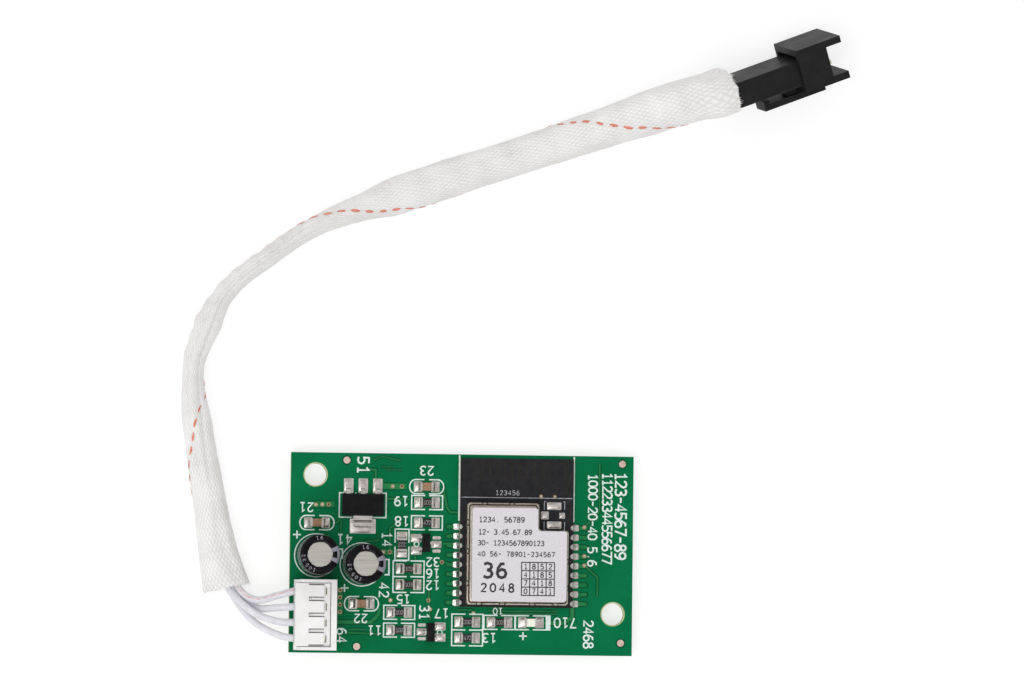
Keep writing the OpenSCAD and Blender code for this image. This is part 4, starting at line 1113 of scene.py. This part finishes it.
# %% Resistors, ceramic capacitors and lamp
glaze_finish, tree, shader = new_finish("black_glaze", (0.020, 0.020, 0.021), 0.34, specular=0.12)
parts = tree.nodes.new("ShaderNodeSeparateXYZ")
tree.links.new(coordinates(tree), parts.inputs["Vector"])
speck = cloud(tree, 3000.0, 3.0)
dark = shades(tree, speck, [(0.3, (0.014, 0.014, 0.016)), (0.7, (0.038, 0.036, 0.037))])
pale = shades(tree, speck, [(0.3, (0.60, 0.59, 0.56)), (0.7, (0.80, 0.79, 0.76))])
low = calc(tree, "LESS_THAN", parts.outputs["Z"], (TOP + 0.42) * MM)
tree.links.new(blend_colours(tree, low, dark, pale), shader.inputs["Base Color"])
raise_by(tree, shader, speck, 0.01)
for k in range(1, 11):
    dress(f"resistor_{k}", glaze_finish, 0.03)
ceramic_finish = speckled(
    "fired_ceramic", (0.42, 0.24, 0.12), 0.45, (1600.0, 4.0),
    [(0.25, (0.14, 0.08, 0.04)), (0.5, (0.27, 0.145, 0.072)), (0.8, (0.40, 0.245, 0.135))],
    bump=(3600.0, 3.0, 0.02), coat=0.1)
for k in range(1, 4):
    dress(f"ceramic_capacitor_{k}", ceramic_finish, 0.05, 3)
resin_finish, tree, shader = new_finish("clear_resin", (0.92, 0.90, 0.78), 0.18, coat=0.3)
parts = tree.nodes.new("ShaderNodeSeparateXYZ")
tree.links.new(coordinates(tree), parts.inputs["Vector"])
off_centre = calc(tree, "ABSOLUTE", calc(tree, "SUBTRACT", parts.outputs["X"], CHIPS["lamp"][0][0] * MM))
middle = calc(tree, "SUBTRACT", 1.0, calc(tree, "MULTIPLY", off_centre, 1400.0))
tone = calc(tree, "MULTIPLY_ADD", cloud(tree, 2500.0, 2.0), 0.3, calc(tree, "MULTIPLY", middle, 0.7))
paint(tree, shader, tone, [(0.2, (0.86, 0.84, 0.78)), (0.7, (0.93, 0.92, 0.84)), (0.9, (0.90, 0.84, 0.55))])
let_light_in(shader, 0.3, (0.4, 0.4, 0.3))
dress("status_led", resin_finish, 0.05, 3)
print("resistors, ceramic capacitors and lamp dressed")

# %% [markdown]
# The resistors' value codes are printed very faintly, three figures each.

# %% Value codes
CODES = ["102", "103", "472", "222", "102", "103", "330", "472", "103", "102"]
codes = Sheet()
for (x, y, turn), text in zip(CHIPS["resistor"], CODES):
    codes.words(text, x, y, 0.62, TOP + 0.512, 2 * turn, advance=0.66, weight=0.17)
code_finish = speckled(
    "value_code", (0.22, 0.22, 0.20), 0.5, (4000.0, 2.0),
    [(0.3, (0.12, 0.12, 0.11)), (0.7, (0.34, 0.33, 0.31))], specular=0.2)
codes.make("value_codes", code_finish)

# %% [markdown]
# The regulator and the two transistors are pressed from dark moulding compound.
# Up close it is matt and grainy, because it is full of glass powder, and the
# mould leaves a faint polished patch. The tops stay bare.

# %% Moulded packages
compound_finish, tree, shader = new_finish("moulding_compound", (0.008, 0.008, 0.009), 0.60, specular=0.06)
grain = cloud(tree, 6500.0, 3.0)
tone = calc(tree, "MULTIPLY_ADD", cloud(tree, 700.0, 4.0), 0.6, calc(tree, "MULTIPLY", grain, 0.4))
paint(
    tree, shader, tone,
    [(0.35, (0.005, 0.005, 0.006)), (0.6, (0.011, 0.011, 0.012)), (0.8, (0.040, 0.040, 0.040))])
raise_by(tree, shader, grain, 0.035)
vary_roughness(tree, shader, cloud(tree, 500.0, 3.0), 0.36, 0.68)
dress("regulator_body", compound_finish, 0.10, 3)
for k in (1, 2):
    dress(f"transistor_{k}_body", compound_finish, 0.06, 2)
print("moulded packages dressed:", compound_finish.name)

# %% [markdown]
# ## The tall capacitors
# Each is a drawn aluminium can in a black shrink sleeve. The sleeve is rolled
# over the rim, so from above one sees a bright disc in a dark ring. A pale
# stripe with dark minus marks runs down the sleeve on its negative side. This
# cell dresses the can and the rubber bung below it.

# %% Capacitor cans
can_finish, tree, shader = new_finish("drawn_aluminium", (0.38, 0.36, 0.33), 0.42, metallic=1.0)
brushed = cloud(tree, 1.0, 3.0, stretched(tree, (260.0, 4200.0, 260.0)))
paint(tree, shader, brushed, [(0.25, (0.33, 0.31, 0.285)), (0.7, (0.43, 0.41, 0.38))])
raise_by(tree, shader, calc(tree, "MULTIPLY_ADD", cloud(tree, 2200.0, 3.0), 0.6, brushed), 0.012)
for k in (1, 2):
    dress(f"capacitor_{k}_can", can_finish, 0.04)
rubber_finish = speckled(
    "rubber_bung", (0.02, 0.02, 0.02), 0.7, (1500.0, 3.0), [(0.3, grey(0.012)), (0.7, grey(0.035))])
for k in (1, 2):
    dress(f"capacitor_{k}_bung", rubber_finish, 0.05)
print("cans and bungs dressed:", can_finish.name, rubber_finish.name)

# %% [markdown]
# The shrink sleeve is turned on a lathe, fine enough that its stripe has clean
# edges: `profile` lists radius and height from the foot, over the groove and
# the round shoulder, to the ragged inner edge. Its figures are drawn flat and
# then laid round the wall or onto the lid.

# %% Shrink sleeves
shrink_finish = speckled(
    "black_shrink_sleeve", (0.006, 0.005, 0.006), 0.13, (900.0, 3.0),
    [(0.3, (0.003, 0.0025, 0.003)), (0.7, (0.010, 0.008, 0.010))], bump=(620.0, 3.0, 0.05),
    specular=0.07)
stripe_print = speckled(
    "sleeve_stripe", (0.22, 0.21, 0.26), 0.36, (1500.0, 3.0),
    [(0.3, (0.17, 0.16, 0.21)), (0.7, (0.27, 0.26, 0.31))], specular=0.3)
print_finish = speckled(
    "sleeve_print", (0.30, 0.28, 0.32), 0.42, (3200.0, 2.0),
    [(0.3, (0.12, 0.11, 0.14)), (0.7, (0.42, 0.40, 0.46))])
RADIUS, LIP, COUNT, SHOULDER, PROUD = 3.15, 1.98, 120, 0.62, 0.012
profile = [(2.72, 0.10), (3.02, 0.16), (3.13, 0.35), (RADIUS, 0.6), (RADIUS, 1.15)]
profile += [(RADIUS - 0.30 * (1 - math.cos(math.radians(a))) / 2, 1.25 + 0.9 * a / 360)
            for a in range(0, 361, 40)]
profile += [(RADIUS, 2.4), (RADIUS, 4.0), (RADIUS, 6.0), (RADIUS, 8.0), (RADIUS, 9.8), (RADIUS, 10.3)]
profile += [(RADIUS - SHOULDER + SHOULDER * math.cos(a), 10.36 + SHOULDER * math.sin(a))
            for a in (math.radians(10 * k) for k in range(1, 10))]
profile += [(2.38, 10.985), (2.20, 10.975), (2.07, 10.955), (LIP, 10.92), (LIP - 0.02, 10.88)]


def round_the_wall(x, y):
    """Lays a drawing on the sleeve of the can at x, y: its width runs round, its height up."""
    far = RADIUS + PROUD
    return lambda a, b, z: (x + far * math.cos(a / RADIUS), y + far * math.sin(a / RADIUS), TOP + b)


def on_the_lid(x, y):
    return lambda a, b, z: (x + a, y + b, CAN_TOP + z)


for k, (x, y) in enumerate(CANS):
    points, faces, kinds = [], [], []
    for j, (r, z) in enumerate(profile):
        for i in range(COUNT):
            a = 2 * math.pi * i / COUNT
            wave = 0.015 * math.sin(7 * a + k) * (1 if 0 < j < len(profile) - 9 else 0.6)
            ragged = 0.05 * math.sin(5 * a + 1) * math.sin(11 * a + k) if r < 2.1 else 0
            far = r + wave - 0.015 + ragged
            points.append((x + far * math.cos(a), y + far * math.sin(a), TOP + z))
    for j in range(len(profile) - 1):
        for i in range(COUNT):
            here, after = j * COUNT, (i + 1) % COUNT
            faces.append((here + i, here + after, here + COUNT + after, here + COUNT + i))
            turn = (360 * (i + 0.5) / COUNT + 180) % 360 - 180
            high = (profile[j][1] + profile[j + 1][1]) / 2
            in_stripe = -27 < turn < 27
            minus = -12 < turn < 12 and (3.9 < high < 5.9 or 7.9 < high < 9.9 or high > 10.93)
            kinds.append(1 if in_stripe and not minus else 0)
    new_piece(f"capacitor_{k + 1}_wrap", points, faces, [shrink_finish, stripe_print],
        smooth=True, finish_of=kinds, stands_for=[f"capacitor_{k + 1}_sleeve"])
    marks = Sheet()
    marks.lay = round_the_wall(x, y)
    for turn in (118, 242):
        begin = math.radians(turn) * RADIUS
        for text, aside, up_to, size in (("1000", 0, 8.2, 1.25), ("25", 1.6, 8.6, 1.1),
                ("105", 1.6, 5.2, 0.9)):
            marks.words(text, begin + aside, up_to, size, 0, 90, advance=0.8, weight=0.14)
    marks.lay = on_the_lid(x, y)
    for turn, text in ((100, "16"), (200, "22"), (250, "105")):
        for n, sign in enumerate(text):
            t = math.radians(turn - n * 15)
            spot = 2.62 * math.cos(t), 2.62 * math.sin(t)
            marks.words(sign, *spot, 0.52, -0.006, math.degrees(t) - 90, weight=0.15)
    marks.make(f"capacitor_{k + 1}_figures", print_finish)

# %% [markdown]
# ## The radio module
# The module is a second, thinner board with a glossy black mask. Its cut edge
# is tan laminate, seen as a thin line on two sides. Under the black mask the
# antenna shows only as slightly lighter upright bars. The small square cut out
# of the shield's corner holds four bright soldered spots.

# %% Module board
module_finish, tree, shader = new_finish("black_solder_mask", (0.014, 0.014, 0.015), 0.40, specular=0.10)
tan_layers = cloud(tree, 1.0, 2.0, stretched(tree, (700.0, 700.0, 7000.0)))
tan = shades(tree, tan_layers, [(0.3, (0.22, 0.17, 0.09)), (0.7, (0.52, 0.43, 0.26))])
black = shades(tree, cloud(tree, 800.0, 3.0), [(0.3, (0.012, 0.012, 0.014)), (0.7, (0.022, 0.021, 0.024))])
tree.links.new(blend_colours(tree, facing_up(tree), tan, black), shader.inputs["Base Color"])
raise_by(tree, shader, cloud(tree, 1500.0, 2.0), 0.008)
dress("module_board", module_finish, 0.05)
bar_finish = speckled(
    "mask_over_antenna", (0.020, 0.019, 0.018), 0.38, (900.0, 2.0),
    [(0.3, (0.016, 0.015, 0.014)), (0.7, (0.024, 0.022, 0.021))], specular=0.10)
BARS, BAR_PITCH, BAR_WIDTH = 11, 1.18, 0.46
art = Sheet()
for k in range(BARS):
    x = 1.9 + BAR_PITCH * k
    art.strip([(x, 14.55), (x, 12.1 if k % 2 else 11.7)], BAR_WIDTH, MODULE_TOP + 0.008, 0)
    if k < BARS - 1:
        y = 14.55 if k % 2 else 11.9
        art.strip([(x, y), (x + BAR_PITCH, y)], BAR_WIDTH, MODULE_TOP + 0.007, 0)
art.strip([(14.9, 14.6), (16.3, 14.6), (16.3, 9.5)], 0.55, MODULE_TOP + 0.007, 0)
art.strip([(12.3, 9.6), (12.3, 11.9), (13.7, 11.9)], 0.46, MODULE_TOP + 0.007, 0)
art.strip([(-0.2, 9.02), (17.4, 9.02)], 0.10, MODULE_TOP + 0.016, 1)
art.words("123456", 7.1, 9.8, 0.72, MODULE_TOP + 0.016, 0, advance=0.92, weight=0.13, kind=1)
for x, y in ((12.42, 9.32), (14.61, 9.30)):
    art.ring(x, y, 0.12, 0.27, MODULE_TOP + 0.018, 2, n=20)
    art.disc(x, y, 0.13, MODULE_TOP + 0.017, 3, n=14)
for x0, y0, x1, y1 in ((13.25, 8.5, 12.95, 7.2), (15.95, 8.5, 16.2, 7.2), (13.25, 3.95, 12.95, 5.3),
        (15.95, 3.95, 16.2, 5.3)):
    art.strip([(x0, y0), (x1, y0), (x1, y1)], 0.10, MODULE_TOP + 0.016, 1)
for x, y, wide, high in ((14.52, 7.78, 2.15, 1.05), (14.55, 4.78, 2.15, 1.0), (13.05, 6.30, 1.1, 1.1),
        (15.80, 6.28, 0.8, 0.8)):
    art.plate(x, y, wide + 0.12, high + 0.12, MODULE_TOP + 0.014, 3)
    art.crown(x, y, wide, high, MODULE_TOP + 0.018, 0.12, kind=3)
faint_print = speckled(
    "faint_print", (0.40, 0.41, 0.46), 0.5, (2500.0, 2.0),
    [(0.3, (0.26, 0.27, 0.32)), (0.7, (0.52, 0.53, 0.58))])
art.make("module_artwork", [bar_finish, faint_print, gold_finish, tin_finish])

# %% [markdown]
# The shield is a frame of thin nickel-plated sheet with a lid set into it. From
# above that reads as three lines round the label: the frame's edge, a groove
# and the lid's fold; the groove's walls and floor are painted dark as shade.
# Short gaps in the frame's upper edge are the places where its spring fingers
# are cut free. All of it follows one L-shaped outline, so `l_line` gives that
# outline at any inset, always with the same number of points, and the rings of
# points are then skinned like the tubes before.

# %% Shield
nickel_finish, tree, shader = new_finish("nickel_plated_sheet", (0.30, 0.265, 0.225), 0.38, metallic=1.0)
mottled = cloud(tree, 1300.0, 4.0)
tone = calc(tree, "MULTIPLY_ADD", cloud(tree, 260.0, 3.0), 0.5, calc(tree, "MULTIPLY", mottled, 0.5))
paint(
    tree, shader, tone,
    [(0.3, (0.26, 0.225, 0.19)), (0.55, (0.40, 0.355, 0.305)), (0.75, (0.56, 0.50, 0.435))])
raise_by(tree, shader, mottled, 0.03)
vary_roughness(tree, shader, cloud(tree, 420.0, 3.0), 0.26, 0.46)
# Painted shade for the groove between the frame and the lid.
groove_shade_finish = speckled(
    "shield_groove_painted_shade", (0.045, 0.032, 0.022), 0.6, (1500.0, 3.0),
    [(0.3, (0.065, 0.046, 0.032)), (0.7, (0.17, 0.13, 0.095))], specular=0.1)


FINEST, GAP_DEPTH, GAP_HALF = 0.3, 0.45, 0.42


def l_line(corners, inset, radius):
    """Rounded outline through corners, drawn in by inset on its left side."""
    count = len(corners)
    whole = [Vector(corners[(k + 1) % count]) - Vector(corners[k]) for k in range(count)]
    sides = [side.normalized() for side in whole]

    def inset_corner(k):
        a, b = sides[k - 1], sides[k % count]
        return Vector(corners[k % count]) + inset * (Vector((-a.y, a.x)) + Vector((-b.y, b.x)))

    points = []
    for k in range(count):
        a, b = sides[k - 1], sides[k]
        spot = inset_corner(k)
        middle = spot - a * radius + b * radius
        turns = [math.radians(15 * j) for j in range(7)]
        points += [middle + (a * math.sin(t) - b * math.cos(t)) * radius for t in turns]
        begin, end = spot + b * radius, inset_corner(k + 1) - b * radius
        steps = int(whole[k].length / FINEST)
        points += [begin.lerp(end, j / steps) for j in range(1, steps)]
    return points


low, high = [[c / MM for c in corner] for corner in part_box("module_shield")]
NOTCH_X, NOTCH_Y = high[0] - 4.7, high[1] - 4.28
SHIELD = [
    (low[0], low[1]), (high[0], low[1]), (high[0], NOTCH_Y), (NOTCH_X, NOTCH_Y), (NOTCH_X, high[1]),
    (low[0], high[1]),
]
GAPS = [
    (2.6, low[1]), (6.3, low[1]), (10.9, low[1]), (14.6, low[1]), (3.3, high[1]), (7.6, high[1]),
    (low[0], 5.0), (low[0], 0.4), (low[0], -4.6), (high[0], -5.2), (high[0], -1.0), (14.6, NOTCH_Y),
]
# inset, height, and whether the gaps dip this ring
levels = [
    (0.2, 3.84, 0), (0.0, 3.80, 0), (0.0, 6.28, 1), (0.05, 6.37, 1), (0.23, 6.38, 1), (0.27, 6.34, 1),
    (0.28, 5.9, 0), (0.40, 5.9, 0), (0.41, 6.36, 0), (0.50, 6.46, 0), (0.64, 6.50, 0),
]
rings = []
for inset, z, dips in levels:
    ring = []
    for flat in l_line(SHIELD, inset, 0.5 if inset < 0.3 else 0.4):
        near = min((flat - Vector(gap)).length for gap in GAPS)
        ring.append(Vector((flat.x, flat.y, z - (GAP_DEPTH if dips and near < GAP_HALF else 0.0))))
    rings.append(ring)
points, faces = skin(rings, closed_ends=False)
per_ring = len(rings[0])
# These rings' faces form the groove and take its painted shade.
SHADED_GROOVE_RINGS = (5, 6, 7)
kinds = [int(f // per_ring in SHADED_GROOVE_RINGS) for f in range(len(faces))]
faces.append(tuple(range((len(rings) - 1) * per_ring, len(rings) * per_ring)))
kinds.append(0)
shell = new_piece("shield_shell", points, faces, [nickel_finish, groove_shade_finish],
    finish_of=kinds, stands_for=["module_shield"])
print(shell.name, len(faces), "faces, notch at", round(NOTCH_X, 2), round(NOTCH_Y, 2))

# %% [markdown]
# The label is smooth white paper with rounded corners, cut so that it reaches
# the edge of the notch. Three rings make its thin edge, and one face its top.

# %% Label
label_finish = speckled(
    "label_paper", (0.80, 0.785, 0.81), 0.5, (3000.0, 3.0),
    [(0.3, (0.635, 0.60, 0.64)), (0.7, (0.695, 0.66, 0.70))], bump=(2600.0, 4.0, 0.01), specular=0.3)
LABEL = [(1.35, -7.4), (16.35, -7.4), (16.35, 3.75), (11.75, 3.75), (11.75, 7.35), (1.35, 7.35)]
LABEL_RINGS = [(0.0, 6.50), (0.0, 6.575), (0.03, LABEL_TOP)]
rings = [[Vector((flat.x, flat.y, z)) for flat in l_line(LABEL, inset, 0.45)] for inset, z in LABEL_RINGS]
points, faces = skin(rings, closed_ends=False)
faces.append(tuple(range(2 * len(rings[0]), 3 * len(rings[0]))))
paper = new_piece("paper_label", points, faces, label_finish, stands_for=["module_label"])
print(paper.name, len(faces), "faces")

# %% [markdown]
# The label carries four rows of small numbers, two larger ones and a ruled
# table of single figures: plain numbers that fill it as evenly as print does
# on a real one. Each row is spread between its two ends.

# %% Label figures
ink = Sheet()
INK_Z = LABEL_TOP + 0.008
LABEL_ROWS = [
    ("1234. 56789", 2.42, 9.55, 5.48, 0.79), ("12- 3.45.67.89", 2.34, 10.73, 3.52, 0.78),
    ("30- 1234567890123", 2.25, 12.70, 1.80, 0.75), ("40 56- 78901-234567", 2.27, 14.40, 0.06, 0.73),
]
for text, x0, x1, y, size in LABEL_ROWS:
    pace = (x1 - x0 - 0.6 * size) / (len(text) - 1) / size
    ink.words(text, (x0 + x1) / 2, y, size, INK_Z, 0, advance=pace, weight=0.22)
ink.words("36", 4.95, -2.52, 2.3, INK_Z, 0, advance=0.95, weight=0.20, kind=1)
ink.words("2048", 5.42, -5.26, 1.3, INK_Z, 0, advance=1.12, weight=0.20, kind=1)
CELL, RULE = 1.3, 0.17
for k in range(5):
    ink.strip([(9.2 + CELL * k, -1.2), (9.2 + CELL * k, -6.4)], RULE, INK_Z, 1)
    ink.strip([(9.14, -1.2 - CELL * k), (14.46, -1.2 - CELL * k)], RULE, INK_Z + 0.002, 1)
for j in range(4):
    for i in range(4):
        sign = str((3 * j + 7 * i + 1) % 10)
        ink.words(sign, 9.85 + CELL * i, -1.85 - CELL * j, 0.78, INK_Z, 0, weight=0.2, kind=1)
grey_ink = speckled(
    "grey_ink", (0.07, 0.066, 0.075), 0.6, (4200.0, 2.0),
    [(0.3, (0.045, 0.042, 0.05)), (0.7, (0.13, 0.125, 0.14))], specular=0.2)
dark_ink = speckled(
    "dark_ink", (0.035, 0.032, 0.037), 0.6, (4200.0, 2.0),
    [(0.3, (0.022, 0.020, 0.024)), (0.7, (0.06, 0.056, 0.064))], specular=0.2)
ink.make("label_figures", [grey_ink, dark_ink])

# %% [markdown]
# ## The connectors
# The board connector is off-white nylon, slightly see-through at thin edges,
# so it gets a trace of light below the surface. The narrow grooves beside its
# four ways are drawn as flat shade lines on the ledge.

# %% Board connector
nylon_finish, tree, shader = new_finish("white_nylon", (0.84, 0.82, 0.81), 0.42, coat=0.08)
paint(tree, shader, cloud(tree, 500.0, 4.0), [(0.3, (0.79, 0.77, 0.76)), (0.7, (0.88, 0.86, 0.86))])
raise_by(tree, shader, cloud(tree, 3500.0, 2.0), 0.012)
let_light_in(shader, 0.12, (0.6, 0.5, 0.4))
dress("header_shell", nylon_finish, 0.10, 3)
dress("plug_housing", nylon_finish, 0.07, 3)
grooves = Sheet()
LEDGE_DROP, CLEAR = 0.6, 0.012
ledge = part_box("plug_housing")[1][2] / MM - LEDGE_DROP + CLEAR
for _, y, _ in WIRE_OUT:
    for side in (-1, 1):
        grooves.strip([(-24.55, y + side * 0.98), (-21.95, y + side * 0.98)], 0.15, ledge)
groove_shade = speckled(
    "groove_shade", (0.12, 0.10, 0.095), 0.7, (1800.0, 3.0),
    [(0.3, (0.07, 0.055, 0.05)), (0.7, (0.24, 0.20, 0.19))], specular=0.1)
grooves.make("plug_groove_lines", groove_shade)
contact_finish = speckled(
    "tinned_brass", (0.74, 0.70, 0.60), 0.28, (1500.0, 3.0),
    [(0.3, (0.56, 0.52, 0.44)), (0.7, (0.84, 0.80, 0.70))], metallic=1.0)
for name in ("header_pins", "plug_contacts", "cable_connector_pins"):
    dress(name, contact_finish, 0.06, 2)

# %% [markdown]
# The in-line connector is black nylon with the fine satin of a spark-eroded
# mould. Its bevel has a paler finish of its own, a painted highlight along the
# edges.

# %% In-line connector
black_finish, tree, shader = new_finish("black_nylon", (0.014, 0.014, 0.015), 0.45, specular=0.10)
satin = cloud(tree, 5200.0, 2.0)
tone = calc(tree, "MULTIPLY_ADD", cloud(tree, 300.0, 4.0), 0.7, calc(tree, "MULTIPLY", satin, 0.3))
paint(
    tree, shader, tone,
    [(0.3, (0.009, 0.009, 0.010)), (0.6, (0.018, 0.017, 0.018)), (0.8, (0.040, 0.037, 0.036))])
raise_by(tree, shader, satin, 0.02)
vary_roughness(tree, shader, cloud(tree, 240.0, 4.0), 0.30, 0.55)
# Painted highlight for the connector's edges.
edge_highlight_finish = speckled(
    "painted_edge_highlight", (0.045, 0.044, 0.044), 0.40, (900.0, 4.0),
    [(0.35, (0.035, 0.034, 0.034)), (0.65, (0.16, 0.155, 0.15))], specular=0.2)
dress("cable_connector_housing", black_finish, 0.11, 2, bevel_highlight=edge_highlight_finish)
print("connectors dressed:", nylon_finish.name, black_finish.name)
